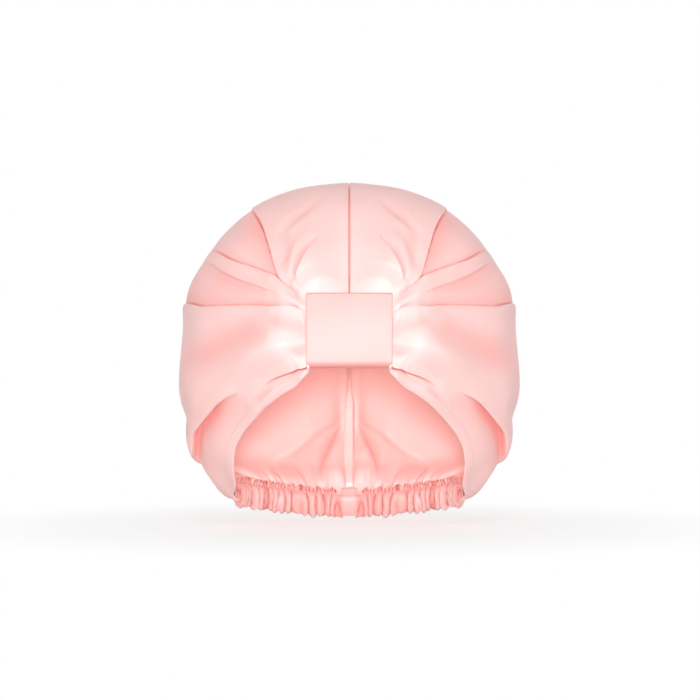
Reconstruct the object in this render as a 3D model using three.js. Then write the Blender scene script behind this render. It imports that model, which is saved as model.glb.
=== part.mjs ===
// A satin hair bonnet of the turban kind. Two crown panels, joined by a centre seam, are pleated into
// a folded band at the front and drawn in by a gathered elastic casing at the nape.
// Millimetres, +Z up, the face opening towards -Y, the centre seam on x = 0.
// The origin is on the head's upright axis, level with the lowest point of the nape casing.

import * as THREE from 'three';

// Cloth and sewing
const CLOTH = 1.0; // satin of a crown panel, with its pressed seam allowance
const TRIM_CLOTH = 0.8; // facing and binding strips
const BAND_CLOTH = 1.6; // the band's satin, folded double
const SEWN_GAP = 0.3; // space kept between two pieces that are sewn face to face

// Front band: a strip folded round the pleated ends of both panels
const BAND_WIDTH = 57.8;
const BAND_HEIGHT = 50.4;
const BAND_BOTTOM_Z = 108.8;
const BAND_FRONT_Y = -103;
const BAND_POCKET = 9.4; // room for the pleats between the front and back walls
const BAND_FOLD_RADIUS = 4; // outer rounding of the two folds under the pleats
const BAND_BACK_HEIGHT = 40; // the back wall is shorter than the front one
const BAND_TUCK = 4; // how far the pleats run in under the front wall
const PLEAT_FOOT = 2; // the lowest pleat stays this far above the folds, where it slopes out of the band
const PLEAT_CORNER_RADIUS = 7; // rounding of the row of pleats at the band's top corners

// Crown: arcs run from the band to the nape and swell out to a girth curve half way
const CROWN_HALF_WIDTH = 118.5;
const CROWN_RISE = 117.7; // height of the girth curve above its centre
const CROWN_STANDOFF = 51.4; // girth centre above the line from band to nape
const CROWN_SWEEP = 142.6; // degrees from the centre seam round to the face edge
const GIRTH_POWER = 0.9; // 1 is an ellipse, less is squarer
const ARC_POWER = 0.87; // 1 is a half ellipse, less is fuller near both ends
const CORNER_POWER = 0.6; // added at the ear corner, where the face edge hangs straighter
const PLEAT_CROWDING = 1.32; // 1 spreads the arcs evenly along the band, more crowds them at its top

// Nape casing, its elastic and the tab that covers the join at centre back
const ELASTIC_WIDTH = 12;
const ELASTIC_THICKNESS = 1.2;
const ELASTIC_CLEARANCE = 0.4;
const CASING_CLOTH = 1.0;
const CASING_HEADING = 3.5; // frill above the stitch line
const GATHER_DEPTH = 1.5;
const GATHERS = 20; // on each side
const NAPE_HALF_WIDTH = 79;
const NAPE_DEPTH = 60; // from the ears back to the nape
const NAPE_EAR_Y = 18;
const NAPE_RISE = 11; // the casing climbs this much from the nape to the ears
const CASING_END = 84; // degrees round from centre back
const CORNER_DROP = 17; // the panel hangs this far down over the casing's end
const CORNER_FORWARD = 3; // and reaches this far in front of the ears
const CORNER_INWARD = 5;
const TAB_WIDTH = 12;
const TACK_LENGTH = 2;

// Strips inside
const FACING_WIDTH = 12;
const BINDING_WIDTH = 7;

// Places on the crown are shares of the way from the seam to the face edge, and from the band to the nape.
const PLEAT_STEP = 0.007; // half the width of a sharp pleat's step, as a share from seam to edge
const CORNER_ACROSS = [0.9, 1]; // the ear corner, from seam to edge
const CORNER_ALONG = [0.5, 1]; // and from band to nape
const COME_OUT = [0.6, 0.74]; // the panel's lower edge comes out from the casing here, from seam to edge
const HANG_DOWN = [0.74, 1]; // and hangs down over it here

// The cut of the face edge: at these places between band and nape, the cloth beside the edge is let out or
// taken in by these shares of the way from seam to edge. It drops steeply beside the band, then arches out.
const CUT_AT = [0, 0.05, 0.11, 0.2, 0.35, 0.5, 0.7, 0.88, 1];
const FACE_CUT = [0, 0, 0.065, 0.027, -0.004, -0.014, 0.028, 0, 0];
const CUT_ACROSS = [0.7, 1]; // how far in from the edge the cut still shifts the cloth

// Each pleat's path: its places between seam and face edge, at these places between band and nape.
const PATH_AT = [0, 0.08, 0.2, 0.35, 0.5, 0.75, 1];

// A pleat rises on the side that lies on top (-1 towards the seam, +1 towards the face edge) and sinks
// on the other. lobe and recess say how far that reaches. span gives where it starts and is full, and
// where it begins to fade and is gone.
const CROWN_PLEAT = {
  path: [0.462, 0.49, 0.345, 0.275, 0.25, 0.23, 0.22],
  top: -1, rise: 2.2, sink: 2.6, lobe: 0.1, recess: 0.05, span: [0.03, 0.12, 0.17, 0.45],
};
const TEMPLE_PLEAT = {
  path: [0.51, 0.53, 0.526, 0.465, 0.42, 0.38, 0.36],
  top: 1, rise: 2.2, sink: 2.6, lobe: 0.07, recess: 0.05, span: [0.03, 0.12, 0.17, 0.45],
};
const SIDE_PLEAT = {
  path: [0.56, 0.65, 0.664, 0.625, 0.56, 0.5, 0.48],
  top: 1, rise: 2.6, sink: 2.6, lobe: 0.07, recess: 0.06, span: [0.015, 0.1, 0.4, 0.65],
};
const EAR_FOLD = {
  path: [0.8, 0.84, 0.9, 0.92, 0.879, 0.8, 0.76],
  top: -1, rise: 3, sink: 9, lobe: 0.07, recess: 0.05, span: [0.27, 0.47, 0.55, 0.85],
};
const PLEATS = [CROWN_PLEAT, TEMPLE_PLEAT, SIDE_PLEAT, EAR_FOLD];

// A soft ridge without an edge runs between the side pleat and the ear fold.
const CHEEK_RIDGE = {
  path: [0.7, 0.765, 0.815, 0.846, 0.85, 0.75, 0.7],
  rise: 3.5, width: 0.05, span: [0.03, 0.15, 0.4, 0.65],
};

// How many strips of cloth lie between one pleat's edge and the next, and along an arc
const STRIPS = {
  underBinding: 1,
  bindingToCrown: 5,
  crownToTemple: 3,
  templeToSide: 4,
  sideToRidge: 3,
  ridgeToEar: 4,
  earToFacing: 2,
  underFacing: 2,
};
const ARC_STEPS = 20;
const SLOPE_STEP = 0.002; // step used to measure the slope of the smooth crown
const HALVINGS = 24; // enough to find a place to a ten-thousandth of a millimetre

const SATIN = 0xf9d0ce;
const SATIN_SHADE = 0xf2b3b0;
const ELASTIC_WHITE = 0xf4efec;

const RIGHT = 1;
const LEFT = -1;

const casingHeight = CASING_HEADING + ELASTIC_WIDTH + 2 * (ELASTIC_CLEARANCE + CASING_CLOTH);
const slotHalf = ELASTIC_THICKNESS / 2 + ELASTIC_CLEARANCE;
const panelLift = SEWN_GAP + CLOTH;

// Small helpers
function smooth(from, to, value) {
  return THREE.MathUtils.smoothstep(value, from, to);
}

function signedPower(value, power) {
  return Math.sign(value) * Math.abs(value) ** power;
}

function curveThrough(knots, values) {
  const spline = new THREE.CubicInterpolant(knots, values, 1);
  return (t) => spline.evaluate(t)[0];
}

function strength(fold, t) {
  const [start, full, fading, gone] = fold.span;
  return smooth(start, full, t) * (1 - smooth(fading, gone, t));
}

for (const fold of [...PLEATS, CHEEK_RIDGE]) {
  fold.at = curveThrough(PATH_AT, fold.path);
}
const faceCut = curveThrough(CUT_AT, FACE_CUT);

// The row of pleat ends, round the right half of the band: along its top, round the corner, down its side.
function bandRim(s) {
  const halfWidth = BAND_WIDTH / 2 - BAND_TUCK;
  const foot = BAND_BOTTOM_Z + BAND_FOLD_RADIUS + PLEAT_FOOT;
  const height = BAND_BOTTOM_Z + BAND_HEIGHT - BAND_TUCK - foot;
  const radius = PLEAT_CORNER_RADIUS;
  const top = halfWidth - radius;
  const corner = radius * Math.PI / 2;
  const along = s ** PLEAT_CROWDING * (top + corner + height - radius);
  const turn = THREE.MathUtils.clamp((along - top) / radius, 0, Math.PI / 2);
  const x = along < top ? along : top + radius * Math.sin(turn);
  const fall = radius * (1 - Math.cos(turn)) + Math.max(0, along - top - corner);
  const y = BAND_FRONT_Y + BAND_CLOTH + SEWN_GAP + CLOTH / 2;
  return new THREE.Vector3(x, y, foot + height - fall);
}

// A point of the nape: turn is radians round from centre back, out is across the casing.
function napePoint(turn, out, z) {
  const sin = Math.sin(turn);
  const cos = Math.cos(turn);
  const across = new THREE.Vector2(NAPE_DEPTH * sin, NAPE_HALF_WIDTH * cos).normalize();
  return new THREE.Vector3(
    NAPE_HALF_WIDTH * sin + out * across.x,
    NAPE_EAR_Y + NAPE_DEPTH * cos + out * across.y,
    NAPE_RISE * sin ** 2 + z,
  );
}

// The panel's lower edge lies on the casing. Towards the ear it comes out from the casing, then hangs
// down over the casing's end to the corner of the face edge.
function napeRim(s) {
  const out = smooth(...COME_OUT, s) * (slotHalf + CASING_CLOTH + GATHER_DEPTH + panelLift);
  const z = casingHeight + panelLift - CORNER_DROP * smooth(...HANG_DOWN, s);
  const point = napePoint(s * Math.PI / 2, out, z);
  const turnIn = smooth(CASING_END / 90, 1, s);
  point.x -= CORNER_INWARD * turnIn;
  point.y -= CORNER_FORWARD * turnIn;
  return point;
}

// The girth curve, half way along every arc, in the plane across the line from band to nape.
function girth(s) {
  const front = bandRim(0);
  const back = napeRim(0);
  const chord = back.clone().sub(front).normalize();
  const up = new THREE.Vector3(0, -chord.z, chord.y);
  const turn = THREE.MathUtils.degToRad(CROWN_SWEEP) * s;
  const rise = CROWN_STANDOFF + CROWN_RISE * signedPower(Math.cos(turn), GIRTH_POWER);
  const point = front.add(back).multiplyScalar(0.5).addScaledVector(up, rise);
  point.x = CROWN_HALF_WIDTH * signedPower(Math.sin(turn), GIRTH_POWER);
  return point;
}

// The smooth crown, without its pleats, on the right of the seam.
function crown(place, t) {
  const s = place + faceCut(t) * smooth(...CUT_ACROSS, place);
  const front = bandRim(s);
  const back = napeRim(s);
  const middle = front.clone().add(back).multiplyScalar(0.5);
  const power = ARC_POWER + CORNER_POWER * smooth(...CORNER_ACROSS, s) * smooth(...CORNER_ALONG, t);
  const swell = girth(s).sub(middle).multiplyScalar(Math.sin(Math.PI * t) ** power);
  const point = middle.addScaledVector(front.sub(back), Math.cos(Math.PI * t) / 2).add(swell);
  point.x += SEWN_GAP / 2;
  return point;
}

function crownNormal(s, t) {
  const low = (value) => Math.max(0, value - SLOPE_STEP);
  const high = (value) => Math.min(1, value + SLOPE_STEP);
  const alongArc = crown(s, high(t)).sub(crown(s, low(t)));
  const acrossArc = crown(high(s), t).sub(crown(low(s), t));
  const normal = acrossArc.cross(alongArc);
  if (s === 0) normal.x = 0;
  return normal.normalize();
}

// Height of the pleated cloth above the smooth crown.
function pleatHeight(s, t) {
  let height = 0;
  for (const pleat of PLEATS) {
    const side = (s - pleat.at(t)) * pleat.top;
    const lift = side > 0 ? pleat.rise : -pleat.sink;
    const reach = side > 0 ? pleat.lobe : pleat.recess;
    height += strength(pleat, t) * lift * Math.exp(-Math.abs(side) / reach);
  }
  const fromRidge = (s - CHEEK_RIDGE.at(t)) / CHEEK_RIDGE.width;
  return height + strength(CHEEK_RIDGE, t) * CHEEK_RIDGE.rise * Math.exp(-(fromRidge ** 2));
}

// A point of the cloth, offset out of the crown, on the chosen side of the seam.
function cloth(s, t, offset, side) {
  const point = crown(s, t).addScaledVector(crownNormal(s, t), pleatHeight(s, t) + offset);
  point.x *= side;
  return point;
}

// Meshes from grids of points. A grid is a list of rows, each a list of points.
class Facets {
  constructor() {
    this.points = [];
    this.triangles = [];
  }

  addGrid(grid) {
    return grid.map((row) => row.map((point) => this.points.push(point) - 1));
  }

  quad(a, b, c, d) {
    this.triangles.push(a, b, c, a, c, d);
  }

  // Strip of quads between two lists of points. A closed strip joins its ends.
  strip(first, second, closed = false) {
    const count = closed ? first.length : first.length - 1;
    for (let i = 0; i < count; i += 1) {
      const next = (i + 1) % first.length;
      this.quad(first[i], first[next], second[next], second[i]);
    }
  }

  geometry(flipped) {
    const order = flipped ? [...this.triangles].reverse() : this.triangles;
    const geometry = new THREE.BufferGeometry().setFromPoints(this.points);
    geometry.setIndex(order);
    geometry.computeVertexNormals();
    return geometry;
  }
}

// A thin sheet between an outer and an inner grid, closed round its rim.
function sheet(outer, inner, flipped) {
  const facets = new Facets();
  const out = facets.addGrid(outer);
  const back = facets.addGrid(inner);
  for (let r = 0; r + 1 < out.length; r += 1) {
    facets.strip(out[r], out[r + 1]);
    facets.strip(back[r + 1], back[r]);
  }
  const last = out.length - 1;
  const end = out[0].length - 1;
  const column = (grid, c) => grid.map((row) => row[c]);
  facets.strip(back[0], out[0]);
  facets.strip(out[last], back[last]);
  facets.strip(column(out, 0), column(back, 0));
  facets.strip(column(back, end), column(out, end));
  return facets.geometry(flipped);
}

// A sleeve swept through rings of points: an outer skin, and an inner one round its bore.
function sleeve(outer, inner, flipped) {
  const facets = new Facets();
  const out = facets.addGrid(outer);
  const bore = facets.addGrid(inner);
  const last = out.length - 1;
  for (let r = 0; r < last; r += 1) {
    facets.strip(out[r], out[r + 1], true);
    facets.strip(bore[r + 1], bore[r], true);
  }
  closeEnd(facets, out[0], bore[0], false);
  closeEnd(facets, out[last], bore[last], true);
  return facets.geometry(flipped);
}

// The flat end of a sleeve, a fan of triangles between its two rings.
function closeEnd(facets, ring, bore, facingOn) {
  const contour = ring.map((i) => flattened(facets.points[i], facets.points[ring[0]]));
  const hole = bore.map((i) => flattened(facets.points[i], facets.points[ring[0]]));
  const names = [...ring, ...bore];
  const clockwise = THREE.ShapeUtils.isClockWise(contour);
  for (const [a, b, c] of THREE.ShapeUtils.triangulateShape(contour, [hole])) {
    const [p, q, r] = [a, b, c].map((i) => (i < ring.length ? contour[i] : hole[i - ring.length]));
    const turnsLeft = (q.x - p.x) * (r.y - p.y) - (q.y - p.y) * (r.x - p.x) > 0;
    const sameWay = turnsLeft !== clockwise;
    const triangle = sameWay === facingOn ? [a, b, c] : [a, c, b];
    facets.triangles.push(...triangle.map((i) => names[i]));
  }
}

// A ring's point in the upright plane of its end: across, and up.
function flattened(point, start) {
  const across = Math.hypot(point.x - start.x, point.y - start.y);
  return new THREE.Vector2(across * Math.sign(point.y - start.y || 1), point.z);
}

function evenly(from, to, steps) {
  return Array.from({ length: steps + 1 }, (unused, i) => from + (to - from) * i / steps);
}

// The place on an arc that lies a given width from one of its two sides, found by halving.
function placeFrom(sidePlace, t, width) {
  const start = crown(sidePlace, t);
  let near = sidePlace;
  let far = 1 - sidePlace;
  for (let i = 0; i < HALVINGS; i += 1) {
    const middle = (near + far) / 2;
    if (crown(middle, t).distanceTo(start) < width) near = middle;
    else far = middle;
  }
  return near;
}

const bindingEdge = (t) => placeFrom(0, t, BINDING_WIDTH / 2);
const facingEdge = (t) => placeFrom(1, t, FACING_WIDTH);

// Places across the cloth, with a column of points just above and just below each pleat's edge.
function places(t) {
  const [crownEdge, temple, sideEdge, ear] = PLEATS.map((pleat) => pleat.at(t));
  const ridge = CHEEK_RIDGE.at(t);
  return [
    ...evenly(0, bindingEdge(t), STRIPS.underBinding),
    ...evenly(bindingEdge(t), crownEdge - PLEAT_STEP, STRIPS.bindingToCrown).slice(1),
    ...evenly(crownEdge + PLEAT_STEP, temple - PLEAT_STEP, STRIPS.crownToTemple),
    ...evenly(temple + PLEAT_STEP, sideEdge - PLEAT_STEP, STRIPS.templeToSide),
    ...evenly(sideEdge + PLEAT_STEP, ridge, STRIPS.sideToRidge),
    ...evenly(ridge, ear - PLEAT_STEP, STRIPS.ridgeToEar).slice(1),
    ...evenly(ear + PLEAT_STEP, facingEdge(t), STRIPS.earToFacing),
    ...evenly(facingEdge(t), 1, STRIPS.underFacing).slice(1),
  ];
}

// Every piece of the crown has its rows of points on the same arcs, so that their facets stay parallel.
const arcRows = evenly(0, 1, ARC_STEPS);
const underPanel = -(CLOTH / 2 + SEWN_GAP);

function crownPanel(side) {
  const layer = (offset) => arcRows.map((t) => places(t).map((s) => cloth(s, t, offset, side)));
  return sheet(layer(CLOTH / 2), layer(-CLOTH / 2), side === LEFT);
}

// A strip turned in behind the face edge, from the band to the ear corner.
function brimFacing(side) {
  const layer = (offset) => arcRows.map(
    (t) => evenly(facingEdge(t), 1, STRIPS.underFacing).map((s) => cloth(s, t, offset, side)),
  );
  return sheet(layer(underPanel), layer(underPanel - TRIM_CLOTH), side === LEFT);
}

// The bound seam allowance, inside the crown along the centre seam.
function seamBinding() {
  const layer = (offset) => arcRows.map((t) => {
    const spine = cloth(0, t, offset, RIGHT);
    spine.x = 0;
    const place = bindingEdge(t);
    return [cloth(place, t, offset, LEFT), spine, cloth(place, t, offset, RIGHT)];
  });
  return sheet(layer(underPanel), layer(underPanel - TRIM_CLOTH), false);
}

// A strip of satin folded under the pleats: a tall front wall, two rounded folds and a shorter back wall.
function frontBand() {
  const depth = BAND_POCKET + 2 * BAND_CLOTH;
  const inner = BAND_FOLD_RADIUS - BAND_CLOTH;
  const profile = new THREE.Shape();
  profile.moveTo(0, BAND_HEIGHT);
  profile.lineTo(0, BAND_FOLD_RADIUS);
  profile.absarc(BAND_FOLD_RADIUS, BAND_FOLD_RADIUS, BAND_FOLD_RADIUS, Math.PI, 1.5 * Math.PI);
  profile.absarc(depth - BAND_FOLD_RADIUS, BAND_FOLD_RADIUS, BAND_FOLD_RADIUS, 1.5 * Math.PI, 2 * Math.PI);
  profile.lineTo(depth, BAND_BACK_HEIGHT);
  profile.lineTo(depth - BAND_CLOTH, BAND_BACK_HEIGHT);
  profile.absarc(depth - BAND_FOLD_RADIUS, BAND_FOLD_RADIUS, inner, 2 * Math.PI, 1.5 * Math.PI, true);
  profile.absarc(BAND_FOLD_RADIUS, BAND_FOLD_RADIUS, inner, 1.5 * Math.PI, Math.PI, true);
  profile.lineTo(BAND_CLOTH, BAND_HEIGHT);
  profile.closePath();
  const band = new THREE.ExtrudeGeometry(profile, { depth: BAND_WIDTH, bevelEnabled: false, curveSegments: 6 });
  const turned = new THREE.Matrix4().makeBasis(
    new THREE.Vector3(0, 1, 0),
    new THREE.Vector3(0, 0, 1),
    new THREE.Vector3(1, 0, 0),
  );
  return band.applyMatrix4(turned).translate(-BAND_WIDTH / 2, BAND_FRONT_Y, BAND_BOTTOM_Z);
}

// Section of the casing as [out, up] pairs. The puckers stand out on either wall, up to GATHER_DEPTH.
function casingRing(outPucker, inPucker) {
  const wall = slotHalf + CASING_CLOTH;
  const stitch = casingHeight - CASING_HEADING;
  const neck = slotHalf + CASING_CLOTH / 2;
  const low = casingHeight * 0.25;
  const high = casingHeight * 0.55;
  const hem = CASING_CLOTH / 2;
  return [
    [neck, hem],
    [wall + outPucker, low],
    [wall + outPucker, high],
    [neck, stitch],
    [neck + outPucker / 2, casingHeight],
    [-neck - inPucker / 2, casingHeight],
    [-neck, stitch],
    [-wall - inPucker, high],
    [-wall - inPucker, low],
    [-neck, hem],
    [0, 0],
  ];
}

function slotRing() {
  const foot = CASING_CLOTH;
  const head = casingHeight - CASING_HEADING - CASING_CLOTH;
  return [[slotHalf, foot], [slotHalf, head], [-slotHalf, head], [-slotHalf, foot]];
}

function ringAt(turn, ring, side) {
  return ring.map(([out, up]) => {
    const point = napePoint(turn, out, up);
    point.x *= side;
    return point;
  });
}

function turnAtWidth(x) {
  return Math.asin(x / NAPE_HALF_WIDTH);
}

const casingEndTurn = THREE.MathUtils.degToRad(CASING_END);
const QUARTERS = 4; // stations in one gather

function napeCasing(side) {
  const turns = evenly(turnAtWidth(TAB_WIDTH / 2 + SEWN_GAP), casingEndTurn, GATHERS * QUARTERS);
  const outer = turns.map((turn, i) => {
    const wave = (1 + Math.cos(2 * Math.PI * i / QUARTERS)) / 2;
    return ringAt(turn, casingRing(GATHER_DEPTH * wave, GATHER_DEPTH * (1 - wave)), side);
  });
  const inner = turns.map((turn) => ringAt(turn, slotRing(), side));
  return sleeve(outer, inner, side === LEFT);
}

// A plain sleeve over the elastic's join.
function joinTab() {
  const reach = turnAtWidth(TAB_WIDTH / 2);
  const turns = evenly(-reach, reach, 4);
  const outer = turns.map((turn) => ringAt(turn, casingRing(0, 0), RIGHT));
  const inner = turns.map((turn) => ringAt(turn, slotRing(), RIGHT));
  return sleeve(outer, inner, false);
}

// Flat bars that follow the casing's slot, as a sheet between an outer and an inner face.
function slotBar(turns, side) {
  const foot = CASING_CLOTH + ELASTIC_CLEARANCE;
  const face = (out) => turns.map((turn) => [foot, foot + ELASTIC_WIDTH].map((up) => {
    const point = napePoint(turn, out, up);
    point.x *= side;
    return point;
  }));
  return sheet(face(ELASTIC_THICKNESS / 2), face(-ELASTIC_THICKNESS / 2), side === LEFT);
}

const tackTurn = TACK_LENGTH / NAPE_DEPTH;
const tackGapTurn = SEWN_GAP / NAPE_DEPTH;
const elasticEndTurn = casingEndTurn - tackTurn - tackGapTurn;
const ELASTIC_STEPS = 48;

function napeElastic() {
  return slotBar(evenly(-elasticEndTurn, elasticEndTurn, ELASTIC_STEPS), RIGHT);
}

// A dense bar of stitches that shuts the casing's end and stops the elastic.
function elasticTack(side) {
  return slotBar([casingEndTurn - tackTurn, casingEndTurn], side);
}

function piece(name, geometry, color, roughness = 0.35) {
  const material = new THREE.MeshStandardMaterial({ color, roughness, metalness: 0 });
  const mesh = new THREE.Mesh(geometry, material);
  mesh.name = name;
  return mesh;
}

const bonnet = new THREE.Group();
bonnet.add(
  piece('left_crown_panel', crownPanel(LEFT), SATIN),
  piece('right_crown_panel', crownPanel(RIGHT), SATIN),
  piece('centre_seam_binding', seamBinding(), SATIN_SHADE),
  piece('front_band', frontBand(), SATIN),
  piece('left_brim_facing', brimFacing(LEFT), SATIN_SHADE),
  piece('right_brim_facing', brimFacing(RIGHT), SATIN_SHADE),
  piece('left_nape_casing', napeCasing(LEFT), SATIN),
  piece('right_nape_casing', napeCasing(RIGHT), SATIN),
  piece('nape_join_tab', joinTab(), SATIN),
  piece('nape_elastic', napeElastic(), ELASTIC_WHITE, 0.8),
  piece('left_elastic_tack', elasticTack(LEFT), SATIN_SHADE, 0.7),
  piece('right_elastic_tack', elasticTack(RIGHT), SATIN_SHADE, 0.7),
);

export default bonnet;
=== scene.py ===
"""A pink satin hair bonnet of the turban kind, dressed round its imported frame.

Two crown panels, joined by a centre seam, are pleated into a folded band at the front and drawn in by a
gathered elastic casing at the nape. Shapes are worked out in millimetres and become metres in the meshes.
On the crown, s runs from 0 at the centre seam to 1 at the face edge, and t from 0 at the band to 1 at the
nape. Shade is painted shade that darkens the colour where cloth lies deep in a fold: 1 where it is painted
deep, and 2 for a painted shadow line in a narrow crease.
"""

import logging
import math
from collections.abc import Iterator
from dataclasses import dataclass
from enum import Enum
from typing import Any

import bpy
import numpy as np
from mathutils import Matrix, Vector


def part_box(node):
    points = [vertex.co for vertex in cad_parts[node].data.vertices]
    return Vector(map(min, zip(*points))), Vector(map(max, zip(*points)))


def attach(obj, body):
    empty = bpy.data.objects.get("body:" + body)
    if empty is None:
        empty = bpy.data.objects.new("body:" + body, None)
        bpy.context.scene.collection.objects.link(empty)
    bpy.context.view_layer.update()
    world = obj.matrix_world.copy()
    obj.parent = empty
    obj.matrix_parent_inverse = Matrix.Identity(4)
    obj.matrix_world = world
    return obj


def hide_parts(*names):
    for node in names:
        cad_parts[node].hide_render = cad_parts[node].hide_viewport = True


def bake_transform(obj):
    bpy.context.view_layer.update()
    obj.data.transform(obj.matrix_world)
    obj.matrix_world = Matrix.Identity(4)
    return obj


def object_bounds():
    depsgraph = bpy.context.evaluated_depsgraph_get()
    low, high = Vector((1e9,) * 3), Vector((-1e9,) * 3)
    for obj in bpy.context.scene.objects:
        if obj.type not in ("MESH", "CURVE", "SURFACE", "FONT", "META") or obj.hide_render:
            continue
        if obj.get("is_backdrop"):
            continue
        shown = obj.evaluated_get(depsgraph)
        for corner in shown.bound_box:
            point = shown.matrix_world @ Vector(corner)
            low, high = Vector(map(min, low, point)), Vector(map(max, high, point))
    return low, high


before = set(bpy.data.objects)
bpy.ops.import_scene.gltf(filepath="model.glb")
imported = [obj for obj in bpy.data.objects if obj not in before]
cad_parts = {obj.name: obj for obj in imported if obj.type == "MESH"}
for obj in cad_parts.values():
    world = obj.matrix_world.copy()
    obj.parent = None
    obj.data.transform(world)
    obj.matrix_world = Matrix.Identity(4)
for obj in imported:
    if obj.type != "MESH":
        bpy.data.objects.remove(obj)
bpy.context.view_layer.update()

MM = 0.001  # metres in a millimetre
QUARTER = math.pi / 2
WHOLE = 2 * math.pi
CLOTH_MAP = "cloth"  # lengths along a piece of cloth, in millimetres
PAINTED_SHADE = "fold"  # painted shade at each point of a piece, which darkens its colour in folds and creases
LOG = logging.getLogger("bonnet")

# Places on the crown are in thousandths: a path is a line of them, and a span says where something starts,
# is full, begins to fade and is gone.
Path = tuple[tuple[int, int], ...]
Span = tuple[int, int, int, int]
PARTS = 1000

Pair = tuple[float, float]
Wave = tuple[float, float, float]  # size, number and phase
Array = np.ndarray
Material = bpy.types.Material
Tree = bpy.types.NodeTree
Piece = bpy.types.Object

LEAN_STEP = 0.004  # step over which a path's lean is measured
SLOPE_STEP = 0.002  # step over which the crown's slopes are measured
SHIFT_PEAK = 2.33  # brings the greatest shift of a pleat's cloth to its overhang
# Strength and width of a pleat's painted shadow line along its edge
CREASE_SHADE = 1.7
CREASE_WIDTH = 0.4
EDGE_HIDES = (-0.6, 0.4)  # across a pleat's edge, where the cloth below comes into view
OVERHANG_HIDES = 0.6  # share of an overhang that covers the cloth beside the edge
FOLD_SHADE_FADE = 0.03  # how gradually a pleat's painted shade begins
ROLL_ANGLES = np.radians((35, 70, 105, 140, 180))
WAVE_PITCH = 0.314  # pitch of a wave texture at a scale of 1


class Side(Enum):
    """The two halves of the bonnet, as seen from the front."""

    LEFT = -1
    RIGHT = 1

    def of(self, name: str) -> str:
        """The name of this side's piece."""
        return f"{self.name.lower()}_{name}"

    def half(self, points: Array) -> Array:
        """Points of the right half, or their mirror image on the left."""
        return points * np.array([self.value, 1, 1])


class Facing(Enum):
    """Which way a wall of the casing looks: into the bonnet or out of it."""

    IN = -1
    OUT = 1


class Body(Enum):
    """What a piece moves with."""

    CAP = "cap"
    NAPE = "nape"
    BOTH = "bends from the cap to the nape"


class Ridges(Enum):
    """How the ridges of a yarn run, by the wave texture's name for it."""

    TWIST = "DIAGONAL"
    PICKS = "Y"


def smooth(start: float, end: float, value: Any) -> Any:
    """A step from 0 at start to 1 at end, with no corner."""
    share = np.clip((value - start) / (end - start), 0, 1)
    return share * share * (3 - 2 * share)


def formed(span: Span, at: Any, fade: float = 1) -> Any:
    """How far something is formed at places, from 0 to 1. fade says how much of it goes at the end."""
    start, full, fading, gone = (place / PARTS for place in span)
    return smooth(start, full, at) * (1 - fade * smooth(fading, gone, at))


def hump(value: Any) -> Any:
    """A round hump, 1 at 0 and nearly gone at 2 and -2."""
    return np.exp(-np.square(value))


def signed_power(value: Any, power: float) -> Any:
    """A power that keeps the sign of its base."""
    return np.sign(value) * np.abs(value) ** power


def unit(vectors: Array) -> Array:
    """Vectors scaled to length 1."""
    return vectors / np.maximum(np.linalg.norm(vectors, axis=-1, keepdims=True), 1e-9)


def linear_colour(code: str) -> tuple[float, float, float, float]:
    """Turns an sRGB colour into a linear one.

    Args:
        code: six hex digits.

    Returns:
        Red, green, blue and an alpha of 1.
    """
    levels = [int(code[i:i + 2], 16) / 255 for i in (0, 2, 4)]
    red, green, blue = [v / 12.92 if v <= 0.04045 else ((v + 0.055) / 1.055) ** 2.4 for v in levels]
    return red, green, blue, 1.0


def spline(path: Path, at: Any) -> Any:
    """A smooth curve, level at both ends and beyond them.

    Args:
        path: places, rising, each with the curve's value there.
        at: where to read it.

    Returns:
        The curve's value at each place.
    """
    places, level = np.array(path).T / PARTS
    at = np.clip(at, places[0], places[-1])
    slope = np.zeros_like(level)
    slope[1:-1] = (level[2:] - level[:-2]) / (places[2:] - places[:-2])
    i = np.clip(np.searchsorted(places, at, side="right") - 1, 0, len(places) - 2)
    width = places[i + 1] - places[i]
    x = (at - places[i]) / width
    start = (1 + 2 * x) * (1 - x) ** 2 * level[i] + x * (1 - x) ** 2 * width * slope[i]
    end = x * x * (3 - 2 * x) * level[i + 1] + x * x * (x - 1) * width * slope[i + 1]
    return start + end


def away(path: Path, along: Any, across: Any, run: Any, breadth: Any) -> Any:
    """How far places lie from a path on the crown.

    Args:
        path: places along it, each with its place across.
        along: places along the path's way.
        across: places across it.
        run: millimetres for a whole step along.
        breadth: millimetres for a whole step across.

    Returns:
        The distance in millimetres, more than 0 on the far side of the path.
    """
    lean = (spline(path, along + LEAN_STEP) - spline(path, along - LEAN_STEP)) / (2 * LEAN_STEP)
    return (across - spline(path, along)) * breadth / np.sqrt(1 + (lean * breadth / run) ** 2)


def rolled(edge: Array, outward: Array, normal: Array, radius: float, lip: float) -> Array:
    """Cloth turned under along an edge.

    Args:
        edge: points of the edge.
        outward: the direction past it.
        normal: the direction out of the cloth.
        radius: of the turn, in millimetres.
        lip: how far the turned cloth runs back.

    Returns:
        Columns of points that go on from the edge.
    """
    turned = [edge + radius * (outward * math.sin(a) - normal * (1 - math.cos(a))) for a in ROLL_ANGLES]
    return np.stack([*turned, turned[-1] - outward * lip], 1)


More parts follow.
